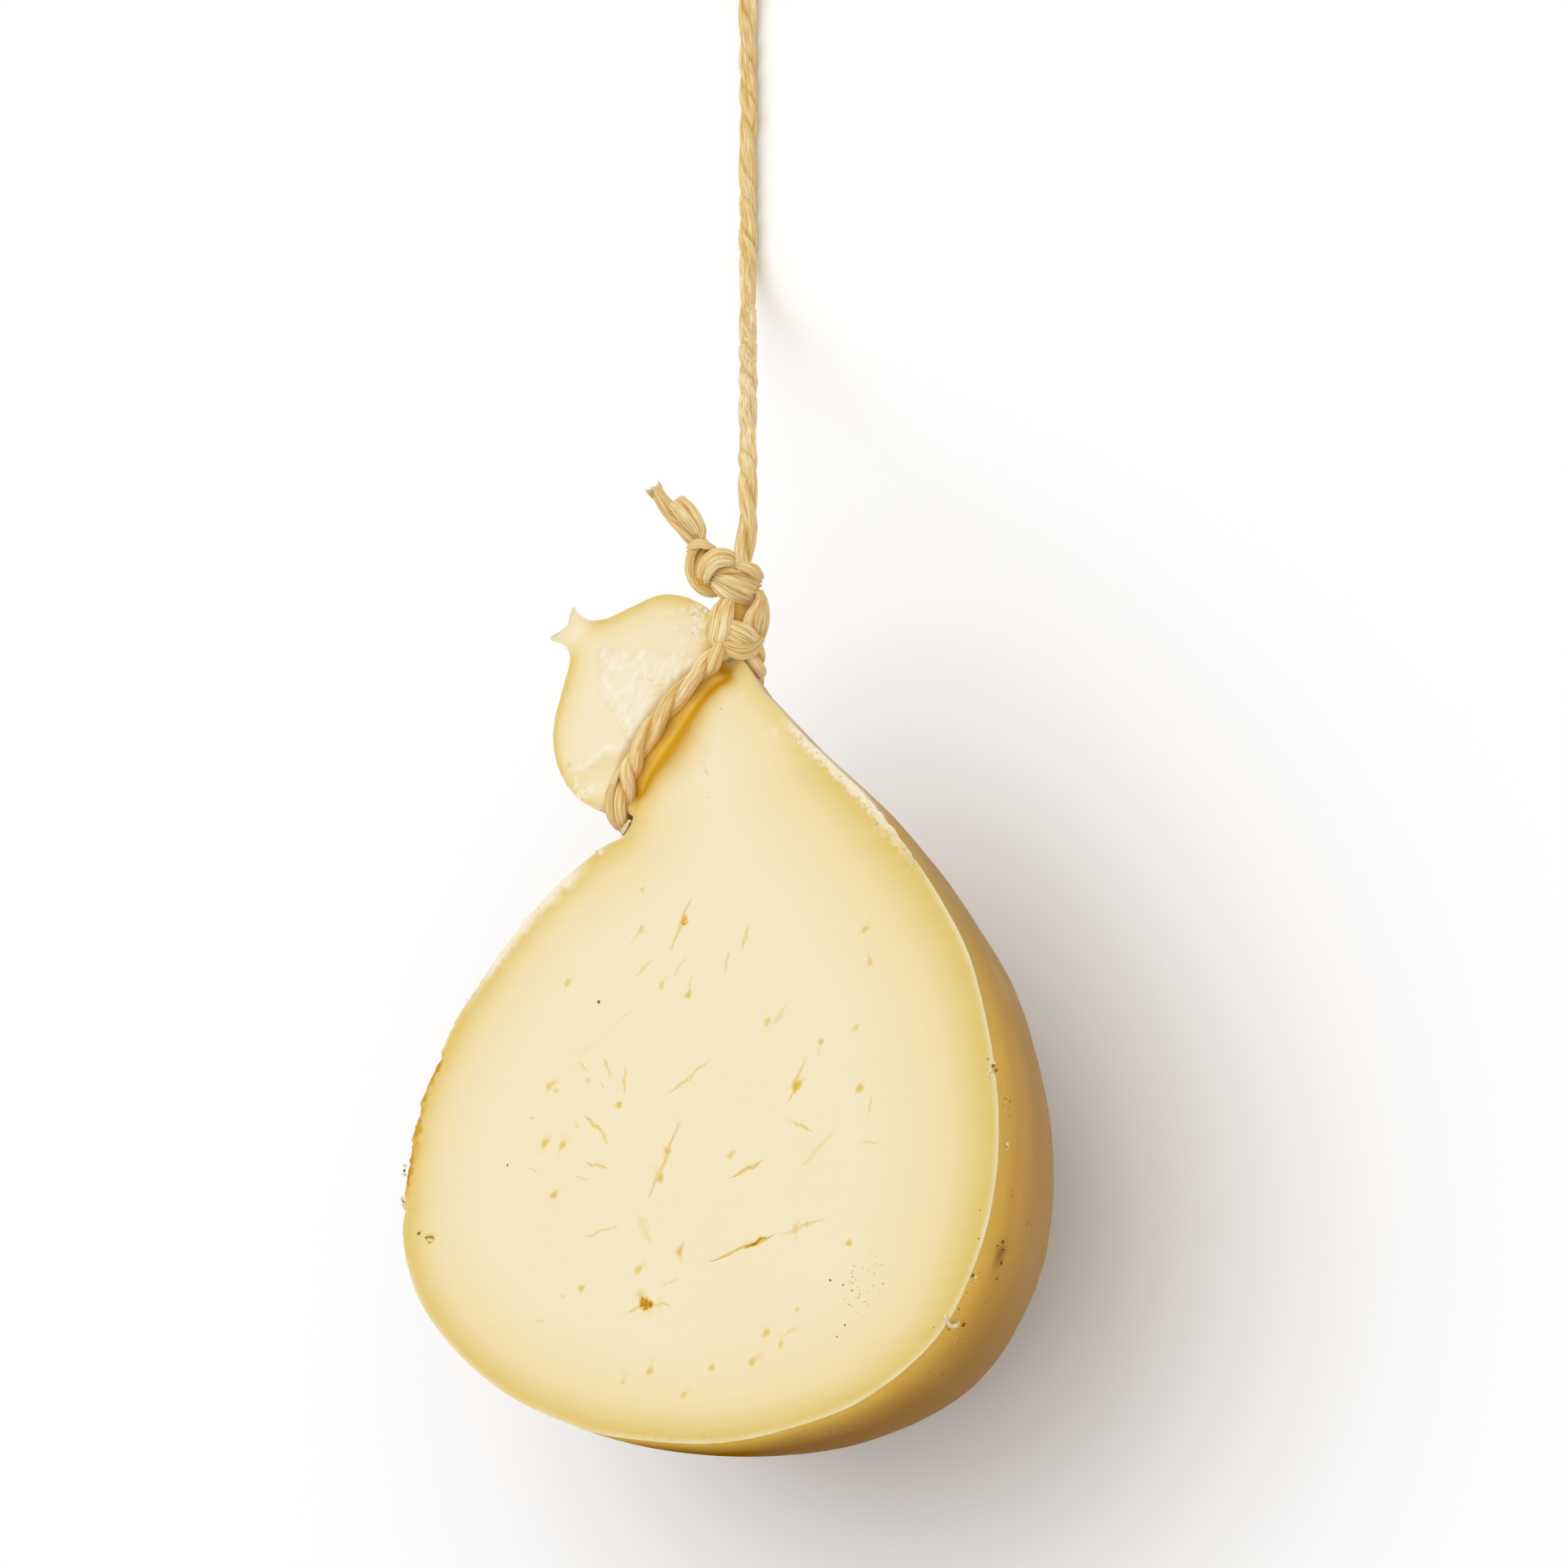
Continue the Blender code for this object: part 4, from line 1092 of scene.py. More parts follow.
def face_points(loop, rims):
    """Places on the cut face, close together where something small is cut into it."""
    candidates = asked_points(loop, rims)
    inside = is_inside(candidates[:, 1:], loop)
    gap, _ = line_distance(candidates[:, 1:], np.vstack((loop, loop[:1])))
    # A place is kept where no kept one is within its reach. Kept places are found by their cell
    cell = 0.5
    taken = {}
    kept = []
    for spacing, px, py in candidates[inside & (gap > 0.28)]:
        column, row = int(px // cell), int(py // cell)
        reach = spacing * 0.62
        cells = int(reach // cell) + 1
        nearby = (
            place
            for cx in range(column - cells, column + cells + 1)
            for cy in range(row - cells, row + cells + 1)
            for place in taken.get((cx, cy), ())
        )
        if all((qx - px) ** 2 + (qy - py) ** 2 >= reach * reach for qx, qy in nearby):
            taken.setdefault((column, row), []).append((px, py))
            kept.append((px, py))
    return np.array(kept)


# The nipple broke off unevenly, in two points: places along the neck's line and out from it
tip_line = [
    (10.8, 46.1), (10.9, 46.6), (10.4, 46.9), (9.8, 46.4), (9.1, 46.5), (8.4, 45.6), (7.7, 45.3),
    (7.1, 44.9), (6.3, 45.3), (5.6, 45.3), (4.9, 45.7), (4.0, 45.4), (3.2, 45.9), (2.5, 46.0),
    (2.0, 47.4), (1.4, 47.6), (1.2, 46.1),
]


def outward(loop):
    """The direction away from the cheese at each place on its rim."""
    ahead = np.roll(loop, -1, axis=0) - np.roll(loop, 1, axis=0)
    ahead /= np.hypot(ahead[:, 0], ahead[:, 1])[:, None]
    return np.column_stack((ahead[:, 1], -ahead[:, 0]))


def near_line(places, line, reach):
    """1 on a line, down to 0 at the reach and at its ends."""
    gap, where = line_distance(places, line)
    return np.clip(2.5 * (np.clip(1 - gap / reach, 0, 1) * ends_faded(where, 8, 8)), 0, 1)


def rim_wander(loop):
    """How far the knife's edge breaks the rim outwards, in millimetres, at each place on it."""
    x, y = loop.T
    wander = 0.06 * noisy(x, y, 0.0, 2.5)
    bites = 0.9 * np.clip(noisy(x, y, 8.0, 2.6), 0, 1)
    wander += near_line(loop, ragged_line, 6) * (0.55 * noisy(x, y, 4.0, 4.0, 4) - bites - 0.1)
    wander += near_line(loop, burr_line, 4) * (0.28 * noisy(x, y, 5.0, 1.5, 3))
    wander += near_line(loop, upper_left_line, 4) * 0.22 * noisy(x, y, 6.0, 2.0, 3)
    for nx, ny, depth, reach in rim_nicks:
        wander -= depth * np.clip(1 - np.hypot(x - nx, y - ny) / reach, 0, 1)
    return wander


def cheese_rim(lefts, rights):
    """The cut's rim, down the left side, up the right and over the nipple's broken end.

    It returns the rim as it is, the way out from it, how far the knife broke it, and how far it
    bulges.
    """
    count = len(lefts)
    tip = by_neck(*np.array(tip_line[1:-1]).T)
    loop = np.vstack((lefts, (foot,), rights[::-1], tip))
    rims = outward(loop)
    wander = rim_wander(loop)
    wander[count * 2 + 1 :] = 0
    away = np.hypot(loop[:, 0] - bulge_middle[0], loop[:, 1] - bulge_middle[1])
    bulge = bulge_height * np.clip(1 - away / bulge_reach, 0, 1)
    bulge[: count + 1] = 0
    return loop + rims * wander[:, None] + np.outer(bulge, bulge_way), rims, wander, bulge


def paste_net(torn_loop, rims):
    """The cut face's places, its triangles, and each rim point's number among its places."""
    flat = np.vstack((torn_loop, face_points(torn_loop, rims)))
    ends = list(range(len(torn_loop)))
    net = geometry.delaunay_2d_cdt(
        [Vector(place) for place in flat], list(zip(ends, ends[1:] + ends[:1])), [], 1, 1e-6
    )
    corners, _, triangles, origins = net[:4]
    number = {source: made for made, sources in enumerate(origins) for source in sources}
    return np.array([tuple(corner) for corner in corners]), triangles, number


def on_nipple(out):
    """How far onto the nipple a place is, 0 to 1, from its distance out from the neck's line."""
    return np.clip((out - 37.5) / 4.0, 0, 1)


def paste_looks(places, rim_gap, white, warm):
    """How deep under the rind the paste looks at each place, its groove's painted shade, and how white."""
    x, y = places.T
    along, out = from_neck(places)
    # The straw yellow reaches further in on the right, and is a thin skin on the head
    right = np.clip((x + 10) / 60, 0, 1) * np.clip((y + 66) / 40, 0, 1)
    on_head = (out - twine_line(along) > 0) & (y > 80)
    thin_skin = 0.40 - 0.16 * np.clip((-10 - along) / 8, 0, 1)
    shoulder = np.clip((y - 84) / 14, 0, 1)
    skin = np.where(on_head, thin_skin, (1 + 0.62 * right) * (1 - 0.20 * shoulder))
    tone = rim_gap / skin / 24 + np.where(on_head, 0, 0.13 * shoulder)
    # Painted golden shade in the groove beside the twine: the body's the most, fading at both ends
    groove, _ = groove_distance(places)
    reach = 15.2 - 7.5 * np.clip((along - 3) / 14, 0, 1)
    reach *= 1 - 0.42 * np.clip((-4 - along) / 12, 0, 1)
    crease = np.clip(1.15 - groove / reach, 0, 1) ** 1.1
    # On the head a faint painted warmth, so the twine's shadow there reads golden
    crease = np.where(on_head, 0.26 * np.clip(1 - groove / 2.4, 0, 1), crease)
    crease *= np.clip((along + 21.5) / 8, 0, 1) * np.clip((26.5 - along) / 8, 0, 1)
    white = np.maximum(white, 0.55 * on_nipple(out))
    # A thin pale edge on the rim, but for the head and the ragged stretch: on the right the knife's,
    # on the left a painted highlight
    edge = np.where(x > 4, 0.58, 0.60) * (0.8 + 0.5 * noisy(x, y, 11.0, 9.0))
    edge *= (y < 100) * ((x > 4) | (np.abs(y - 12) > 24))
    white = np.maximum(white, edge * np.clip(1.2 - rim_gap / 0.5, 0, 1))
    return tone, np.maximum(crease, warm), white


# The rind goes in strips from the right rim, down under the cheese, to the left rim, and they are
# narrowest beside the cut
rind_strips = 88
strip_share = np.linspace(0, 1, rind_strips + 1)[1:-1]
strip_angle = math.pi * (strip_share - 0.86 * np.sin(math.tau * strip_share) / math.tau)
strip_across = np.sign(np.cos(strip_angle)) * np.abs(np.cos(strip_angle)) ** (2 / rind_squareness)
strip_down = np.sin(strip_angle) ** (2 / rind_squareness)


def smooth_rind(lefts, rights, depths, spreads):
    """The unbroken rind in plan, its height, and the heights of its left and its right edge."""
    middles, halves = (lefts + rights) / 2, (rights - lefts) / 2
    away = np.clip(np.abs((middles - neck_middle) @ neck_out) - channel_half_width, 0, None)
    bent = np.clip(1 - away / bend_reach, 0, 1)
    plan = middles[:, None] + halves[:, None] * strip_across[None, :, None]
    plan -= neck_out * (rind_bend_height * strip_down[None, :] * bent[:, None])[:, :, None]
    left_z, right_z = (
        cut_height - groove_sink(edges, np.full(len(edges), end), spreads)
        for edges, end in ((lefts, -1.0), (rights, 1.0))
    )
    edge = (left_z + right_z)[:, None] / 2 + (right_z - left_z)[:, None] / 2 * strip_across[None, :]
    z = edge - (edge - cut_height + depths[:, None]) * strip_down[None, :]
    return plan, z, left_z, right_z


def notch_nipple(plan):
    """Breaks the nipple's end, and returns where each place is by the neck's line."""
    ahead, out = from_neck(plan.reshape(-1, 2))
    tip_ahead, tip_out = np.array(tip_line[::-1]).T
    notch = np.interp(ahead, tip_ahead, tip_out) - head_edges[0][0]
    notch = notch * np.clip((out - 40.5) / 5.6, 0, 1) ** 1.5
    plan += (neck_out * notch[:, None]).reshape(plan.shape)
    return ahead, out


def push_lumps(under, middles, depths, deep):
    """Moves the rind in and out by its soft lumps, which fade towards the cut and the nipple."""
    each = rind_strips - 1
    heart = np.column_stack((np.repeat(middles, each, axis=0), np.full(len(under), cut_height)))
    way = under - heart
    way /= np.linalg.norm(way, axis=1)[:, None]
    lumps = 0.30 * noisy(*under.T, 18.0) + 0.05 * noisy(*under.T, 2.2)
    lumps *= np.clip(deep / 5, 0, 1) * np.clip(np.repeat(depths, each) / 20, 0.1, 1)
    under += way * lumps[:, None]
    under[:, 2] = np.clip(under[:, 2], 0, None)


def rind_paleness(under, deep, ahead, out):
    """How pale the rind is at each place: on the nipple, under the head's thin skin, and by the cut.

    Under the head, most at its left end, and below the right burr, it is also painted light on the
    shaded strip of rind under the rim.
    """
    x, y = under[:, 0], under[:, 1]
    pale = 0.8 * on_nipple(out)
    # Painted light: the rind under the head's rim is lifted against its shade, most at the left end
    left_end = np.clip((-12 - ahead) / 6, 0, 1)
    thin = (0.65 + 0.30 * left_end) * np.exp(-deep / (4 + 5 * left_end))
    thin *= np.clip((y - 79) / 4, 0, 1)
    pale = np.maximum(pale, thin * np.clip((out + left_end) / 3, 0, 1))
    scraped = near_line(under[:, :2], upper_left_line, 5)
    pale = np.maximum(pale, 0.8 * scraped * np.exp(-deep / 2))
    # Below the right burr: the burr's pale paste, and painted light on the shaded strip of rind
    below_burr = np.clip((y - 68) / 10, 0, 1) * (x > 0) * (out < 0)
    return np.maximum(pale, 0.9 * below_burr * np.exp(-deep / 2.2))


def make_cheese():
    """The half cheese as one mesh: its cut face in triangles, and its rind in strips."""
    lefts, rights, depths, spreads = cheese_sections()
    count = len(lefts)
    torn_loop, rims, wander, bulge = cheese_rim(lefts, rights)
    places, triangles, number = paste_net(torn_loop, rims)
    rim_gap, _ = line_distance(places, np.vstack((torn_loop, torn_loop[:1])))
    height, gold, white, warm = cut_face(places, rim_gap)
    tone, crease, white = paste_looks(places, rim_gap, white, warm)
    level = np.column_stack((places, cut_height + height))

    # The rim's breaks and its rolled edge run a few millimetres down the rind, and its bulge further
    plan, z, left_z, right_z = smooth_rind(lefts, rights, depths, spreads)
    fall = cut_height - z
    left, right = np.arange(count), np.arange(2 * count, count, -1)
    for side, side_z, here in ((left, left_z, strip_across < 0), (right, right_z, strip_across > 0)):
        rise = cut_height + height[[number[index] for index in side]] - side_z
        z += rise[:, None] * here * np.exp(-fall / 1.6)
        broken = wander[side][:, None] * np.exp(-fall / 2.2) * here
        plan += rims[side][:, None] * broken[:, :, None]
    bulged = bulge[right][:, None] * np.exp(-fall / 9) * (strip_across > 0)
    plan += bulged[:, :, None] * np.array(bulge_way)
    ahead, out = notch_nipple(plan)
    under = np.dstack((plan, z)).reshape(-1, 3)
    deep = np.clip(fall.reshape(-1), 0, None)
    push_lumps(under, (lefts + rights) / 2, depths, deep)

    faces = [tuple(triangle) for triangle in triangles]
    paste_faces = len(faces)
    rows = np.arange(len(under)).reshape(count, -1) + len(level)
    rows = [[number[2 * count - row], *made, number[row]] for row, made in enumerate(rows.tolist())]
    for row, after in zip(rows, rows[1:]):
        faces += zip(row, after, after[1:], row[1:])
    faces += [(a, number[count], b) for a, b in zip(rows[-1], rows[-1][1:])]
    cap = rows[0] + [number[index] for index in range(len(torn_loop) - 1, 2 * count, -1)]
    centre = len(level) + len(under)
    faces += [(centre, a, b) for a, b in zip(cap, cap[1:] + cap[:1])]
    cap_middle = (lefts[0] + rights[0]) / 2 - neck_out * 0.9

    points = np.vstack((level, under, ((*cap_middle, cut_height - depths[0] / 2),)))
    empty = np.zeros(len(under))
    values = {
        "rim_depth": np.concatenate((tone, empty, (0,))),
        "crease": np.concatenate((crease, empty, (0,))),
        "gold": np.concatenate((gold, empty, (0,))),
        "white": np.concatenate((white, rind_paleness(under, deep, ahead, out), (0.8,))),
        "fall": np.concatenate((np.zeros(len(level)), deep / cut_height, (0,))),
    }
    points = points * mm + np.array((0, belly_y, 0))
    mesh = bpy.data.meshes.new("cheese half")
    mesh.from_pydata([tuple(point) for point in points], [], faces)
    for name, column in values.items():
        mesh.attributes.new(name, "FLOAT", "POINT").data.foreach_set("value", column.astype(np.float32))
    mesh.materials.append(cut_paste)
    mesh.materials.append(oiled_rind)
    slots = np.zeros(len(faces), np.int32)
    slots[paste_faces:] = 1
    mesh.polygons.foreach_set("material_index", slots)
    mesh.shade_smooth()
    mesh.set_sharp_from_angle(angle=math.radians(62))
    return in_scene("cheese_half", mesh)


# Stretched-curd paste, cut with a knife: ivory, close and faintly waxy, so light sinks in a little
# way; straw yellow towards the rind, with the knife's fine drag lines across it
cut_paste, tree = empty_material("cut pasta filata paste")
place = add(tree, "ShaderNodeTexCoord", out="Object")
colour = add(
    tree,
    "ShaderNodeValToRGB",
    {"Fac": add(tree, "ShaderNodeAttribute", out="Fac", attribute_name="rim_depth")},
    0,
    [
        (0.0, "#D2BA66"), (0.06, "#DAB954"), (0.12, "#DCC067"), (0.20, "#E2CA83"),
        (0.30, "#E8D398"), (0.45, "#EBD9A9"), (0.62, "#EDDDB4"), (0.95, "#EEE1BE"),
    ],
)
# Clouds some 26 mm wide, drag lines 2 mm apart and 70 mm long, and pores of 1 mm
cloud = add(tree, "ShaderNodeTexNoise", {"Vector": place, "Scale": 38.0, "Detail": 3.0}, 0)
cloud = add(tree, "ShaderNodeMapRange", {"Value": cloud, "To Max": 0.30}, 0)
stretched = {"Vector": place, "Rotation": (0, 0, math.radians(-4)), "Scale": (14, 520, 60)}
stretched = add(tree, "ShaderNodeMapping", stretched, 0)
drag = add(tree, "ShaderNodeTexNoise", {"Vector": stretched, "Scale": 1.0, "Detail": 3.0}, 0)
dragged = add(tree, "ShaderNodeMapRange", {"Value": drag, "To Max": 0.16}, 0)
# Painted golden glow of scattered light in its eyes and slits, painted amber shade in the groove
# beside the twine, and white where it is torn
gold = add(tree, "ShaderNodeAttribute", out="Fac", attribute_name="gold")
amber_and_shade = add(tree, "ShaderNodeAttribute", out="Fac", attribute_name="crease")
# Painted shade of the groove, and lighter gold right by the twine, painted against its own shadow
amber = [(0.30, "#E2C06A"), (0.72, "#C68F0E"), (0.82, "#C9930F"), (1.0, "#EEC454")]
amber = add(tree, "ShaderNodeValToRGB", {"Fac": amber_and_shade}, 0, amber)
amber_and_shade = add(tree, "ShaderNodeMapRange", {"Value": amber_and_shade, "From Max": 0.68}, 0)
white = add(tree, "ShaderNodeAttribute", out="Fac", attribute_name="white")
for share, tint in (
    (cloud, srgb("#E9D7A9")),
    (dragged, srgb("#F2E8CA")),
    (gold, srgb("#DFBC30")),
    (amber_and_shade, amber),
    (white, srgb("#F4E9D3")),
):
    colour = add(tree, "ShaderNodeMixRGB", {"Fac": share, "Color1": colour, "Color2": tint}, 0)
pores = add(tree, "ShaderNodeTexNoise", {"Vector": place, "Scale": 900.0, "Detail": 2.0}, 0)
marks = add(tree, "ShaderNodeMixRGB", {"Fac": 0.3, "Color1": drag, "Color2": pores}, 0)
relief = add(tree, "ShaderNodeBump", {"Strength": 0.25, "Distance": 0.0002, "Height": marks}, 0)
finish_material(
    tree,
    {
        "Base Color": colour,
        "Roughness": 0.50,
        "IOR": 1.42,
        "Specular IOR Level": 0.12,
        "Normal": relief,
        "Subsurface Weight": 0.12,
        "Subsurface Radius": (1.0, 0.72, 0.38),
        "Subsurface Scale": 0.0025,
    },
)

# Aged rind, brined, dried and rubbed with oil: tight, satin and golden brown, yellower where light
# comes through beside the cut, with faint streaks from its strings and small dark pits
oiled_rind, tree = empty_material("oiled cheese rind")
place = add(tree, "ShaderNodeTexCoord", out="Object")
colour = add(
    tree,
    "ShaderNodeValToRGB",
    {"Fac": add(tree, "ShaderNodeAttribute", out="Fac", attribute_name="fall")},
    0,
    [
        (0.0, "#E4BE5C"), (0.04, "#E6B74A"), (0.11, "#CE9D40"),
        (0.25, "#B48843"), (0.6, "#A87E42"), (1.0, "#A47B42"),
    ],
)
# Browner towards the foot and down the underside: painted shade; and duller there, with no shine.
# Darker towards the neck: painted shade too
foot_end = {0: place, 1: (0.35, 0.94, 0)}
foot_end = add(tree, "ShaderNodeVectorMath", foot_end, "Value", operation="DOT_PRODUCT")
foot_end = add(tree, "ShaderNodeMapRange", {"Value": foot_end, "From Min": -0.045, "From Max": -0.104}, 0)
below_cut = add(tree, "ShaderNodeAttribute", out="Fac", attribute_name="fall")
below_cut = {"Value": below_cut, "From Min": 0.02, "From Max": 0.20, "To Min": 0.04}
below_cut = add(tree, "ShaderNodeMapRange", below_cut, 0)
underside_shade = add(tree, "ShaderNodeMath", {0: foot_end, 1: below_cut}, 0, operation="MULTIPLY")
neck_end_shade = add(tree, "ShaderNodeSeparateXYZ", {"Vector": place}, "Y")
neck_end_shade = {"Value": neck_end_shade, "From Min": -0.034, "From Max": -0.006, "To Max": 0.5}
neck_end_shade = add(tree, "ShaderNodeMapRange", neck_end_shade, 0)
shine = add(tree, "ShaderNodeMapRange", {"Value": foot_end, "To Min": 0.10, "To Max": 0.0}, 0)
# Streaks 11 mm wide and 100 mm long, patches of bloom of 18 mm, and in these pits 5 mm apart
streaks = add(tree, "ShaderNodeMapping", {"Vector": place, "Scale": (90, 10, 90)}, 0)
streaks = add(tree, "ShaderNodeTexNoise", {"Vector": streaks, "Scale": 1.0, "Detail": 4.0}, 0)
streaky = add(tree, "ShaderNodeMapRange", {"Value": streaks, "To Max": 0.45}, 0)
bloom = add(tree, "ShaderNodeTexNoise", {"Vector": place, "Scale": 55.0, "Detail": 5.0}, 0)
bloomed = {"Value": bloom, "From Min": 0.52, "From Max": 0.74, "To Max": 0.25}
bloomed = add(tree, "ShaderNodeMapRange", bloomed, 0)
pits = add(tree, "ShaderNodeTexVoronoi", {"Vector": place, "Scale": 210.0}, "Distance")
pits = add(tree, "ShaderNodeMapRange", {"Value": pits, "From Min": 0.16, "From Max": 0.05}, 0)
patches = {"Value": bloom, "From Min": 0.55, "From Max": 0.65, "To Max": 0.8}
patches = add(tree, "ShaderNodeMapRange", patches, 0)
pits = add(tree, "ShaderNodeMath", {0: pits, 1: patches}, 0, operation="MULTIPLY")
pale = add(tree, "ShaderNodeAttribute", out="Fac", attribute_name="white")
# A brown stain, about 10 mm long, where it touched the rack
stain = {"Vector": place, "Location": (-34.5, 12.2, -32.0), "Scale": (450, 155, 450)}
stain = add(tree, "ShaderNodeMapping", stain, 0)
stain = add(tree, "ShaderNodeVectorMath", {0: stain}, "Value", operation="LENGTH")
stain = add(tree, "ShaderNodeMapRange", {"Value": stain, "From Min": 1.3, "From Max": 0.2}, 0)
patchy = {"Value": bloom, "From Min": 0.38, "From Max": 0.56, "To Max": 0.9}
patchy = add(tree, "ShaderNodeMapRange", patchy, 0)
stain = add(tree, "ShaderNodeMath", {0: stain, 1: patchy}, 0, operation="MULTIPLY")
# The neck end's and the underside's browns are painted shade
for share, code in (
    (neck_end_shade, "#8F6A2C"),
    (streaky, "#94702F"),
    (bloomed, "#C9AA68"),
    (underside_shade, "#7E5302"),
    (pits, "#5C3A10"),
    (pale, "#F2E8CA"),
    (stain, "#7E5418"),
):
    colour = add(tree, "ShaderNodeMixRGB", {"Fac": share, "Color1": colour, "Color2": srgb(code)}, 0)
grain = add(tree, "ShaderNodeTexNoise", {"Vector": place, "Scale": 420.0, "Detail": 3.0}, 0)
grain = add(tree, "ShaderNodeMixRGB", {"Fac": 0.35, "Color1": grain, "Color2": streaks}, 0)
relief = add(tree, "ShaderNodeBump", {"Strength": 0.40, "Distance": 0.0004, "Height": grain}, 0)
finish_material(
    tree,
    {
        "Base Color": colour,
        "Roughness": 0.46,
        "IOR": 1.46,
        "Specular IOR Level": shine,
        "Normal": relief,
        "Subsurface Weight": 0.08,
        "Subsurface Radius": (1.0, 0.65, 0.28),
        "Subsurface Scale": 0.003,
    },
)

cheese = make_cheese()
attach(cheese, "root")
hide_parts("cheese")


# Crumbs. The knife dragged crumbs of dry curd and specks of dark rind over the cut, and left most
# of them on the rim; one long shaving curled over it. They are greasy, so they stick.


def crumb_material(name, scale, mottling, roughness, specular):
    """A matt material that is mottled between two colours."""
    material, tree = empty_material(name)
    place = add(tree, "ShaderNodeTexCoord", out="Object")
    mottle = add(tree, "ShaderNodeTexNoise", {"Vector": place, "Scale": scale, "Detail": 2.0}, 0)
    colour = add(tree, "ShaderNodeValToRGB", {"Fac": mottle}, 0, mottling)
    sizes = {"Base Color": colour, "Roughness": roughness, "Specular IOR Level": specular}
    finish_material(tree, sizes)
    return material


# Chalky and loose, so it is paler than the paste it came from and has no shine
dry_curd = crumb_material("dry curd", 900.0, [(0.35, "#DCC796"), (0.62, "#EFE2C2")], 0.75, 0.15)
# Scorched brown skin, matt where it is torn
scorched = [(0.35, "#5E3E16"), (0.65, "#94692E")]
dark_rind = crumb_material("dark rind specks", 1500.0, scorched, 0.60, 0.30)


def crumb_tree():
    """A torn lump on each of the mesh's points, as large as its "size"."""
    tree = bpy.data.node_groups.new("torn crumbs", "GeometryNodeTree")
    inputs = group_inputs(
        tree,
        {
            "Flatness": ("NodeSocketFloat", 0.5),
            "Tear": ("NodeSocketFloat", 1.6),
            "Tear Scale": ("NodeSocketFloat", 2400.0),
            "Seed": ("NodeSocketInt", 1),
            "Material": ("NodeSocketMaterial", None),
        },
    )
    size = {"Name": "size"}
    size = add(tree, "GeometryNodeInputNamedAttribute", size, 0, data_type="FLOAT")
    height = add(tree, "ShaderNodeMath", {0: size, 1: inputs["Flatness"]}, 0, operation="MULTIPLY")
    scale = add(tree, "ShaderNodeCombineXYZ", {"X": size, "Y": size, "Z": height}, 0)
    turn = {0: (-0.3, -0.3, 0), 1: (0.3, 0.3, math.tau), "Seed": inputs["Seed"]}
    turn = add(tree, "FunctionNodeRandomValue", turn, 0, data_type="FLOAT_VECTOR")
    lump = add(tree, "GeometryNodeMeshIcoSphere", {"Radius": 1.0, "Subdivisions": 2}, "Mesh")
    lumps = {"Points": inputs["Geometry"], "Instance": lump, "Rotation": turn, "Scale": scale}
    lumps = add(tree, "GeometryNodeInstanceOnPoints", lumps, 0)
    lumps = add(tree, "GeometryNodeRealizeInstances", {"Geometry": lumps}, 0)
    torn = {"Scale": inputs["Tear Scale"], "Detail": 2.0}
    torn = add(tree, "ShaderNodeTexNoise", torn, "Color")
    torn = {0: torn, 1: (0.5, 0.5, 0.5)}
    torn = add(tree, "ShaderNodeVectorMath", torn, 0, operation="SUBTRACT")
    reach = add(tree, "ShaderNodeMath", {0: size, 1: inputs["Tear"]}, 0, operation="MULTIPLY")
    torn = add(tree, "ShaderNodeVectorMath", {0: torn, "Scale": reach}, 0, operation="SCALE")
    lumps = add(tree, "GeometryNodeSetPosition", {"Geometry": lumps, "Offset": torn}, 0)
    finish_tree(tree, lumps, inputs["Material"])
    return tree


def crumbs(name, rows, material, sizes):
    """Crumbs at places in millimetres, each with its half width, as one piece on the cheese."""
    mesh = bpy.data.meshes.new(name)
    mesh.from_pydata([tuple(placed(*row[:3])) for row in rows], [], [])
    widths = mesh.attributes.new("size", "FLOAT", "POINT")
    widths.data.foreach_set("value", [row[3] * mm for row in rows])
    piece = grow(name, mesh, crumbs_tree, sizes, material)
    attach(piece, "root")


crumbs_tree = crumb_tree()
crumb_draw = random.Random(12)
# Each crumb's place and half width
curd_rows = [
    (81.6, -11.2, 76.5, 0.52), (81.5, -11.9, 75.9, 0.40), (81.4, -12.5, 76.6, 0.26),
    (74.1, -41.2, 78.2, 0.36), (73.6, -41.8, 77.6, 0.30), (73.1, -42.6, 77.2, 0.22),
    (64.9, -54.2, 75.4, 0.24), (65.2, -53.9, 74.4, 0.16), (65.5, -53.4, 73.2, 0.20),
    (65.8, -52.8, 71.4, 0.15), (65.9, -52.4, 70.3, 0.22), (79.9, 5.2, 80.2, 0.50),
    (79.2, 4.4, 80.1, 0.34), (80.7, 7.0, 79.9, 0.40), (79.6, 3.6, 80.1, 0.24),
    (-73.6, -8.1, 79.8, 0.55), (-72.9, -8.3, 79.8, 0.50), (-81.2, 9.2, 79.8, 0.55),
    (-80.9, 11.4, 79.9, 0.45), (-81.8, 3.6, 79.5, 0.55), (-81.9, 2.3, 79.2, 0.45),
    (-27.4, 79.1, 80.0, 0.34), (-19.5, 85.6, 78.0, 0.50), (-19.8, 85.0, 78.2, 0.60),
    (-20.1, 84.4, 78.4, 0.60), (-20.4, 83.8, 78.5, 0.65), (-20.7, 83.2, 78.7, 0.60),
    (28.2, -68.3, 71.2, 0.11), (29.7, -68.1, 70.4, 0.14), (31.6, -67.8, 69.0, 0.12),
    (33.1, -67.5, 68.0, 0.10), (34.4, -67.3, 67.2, 0.15), (35.9, -66.9, 66.2, 0.11),
    (37.3, -66.5, 64.8, 0.13),
]
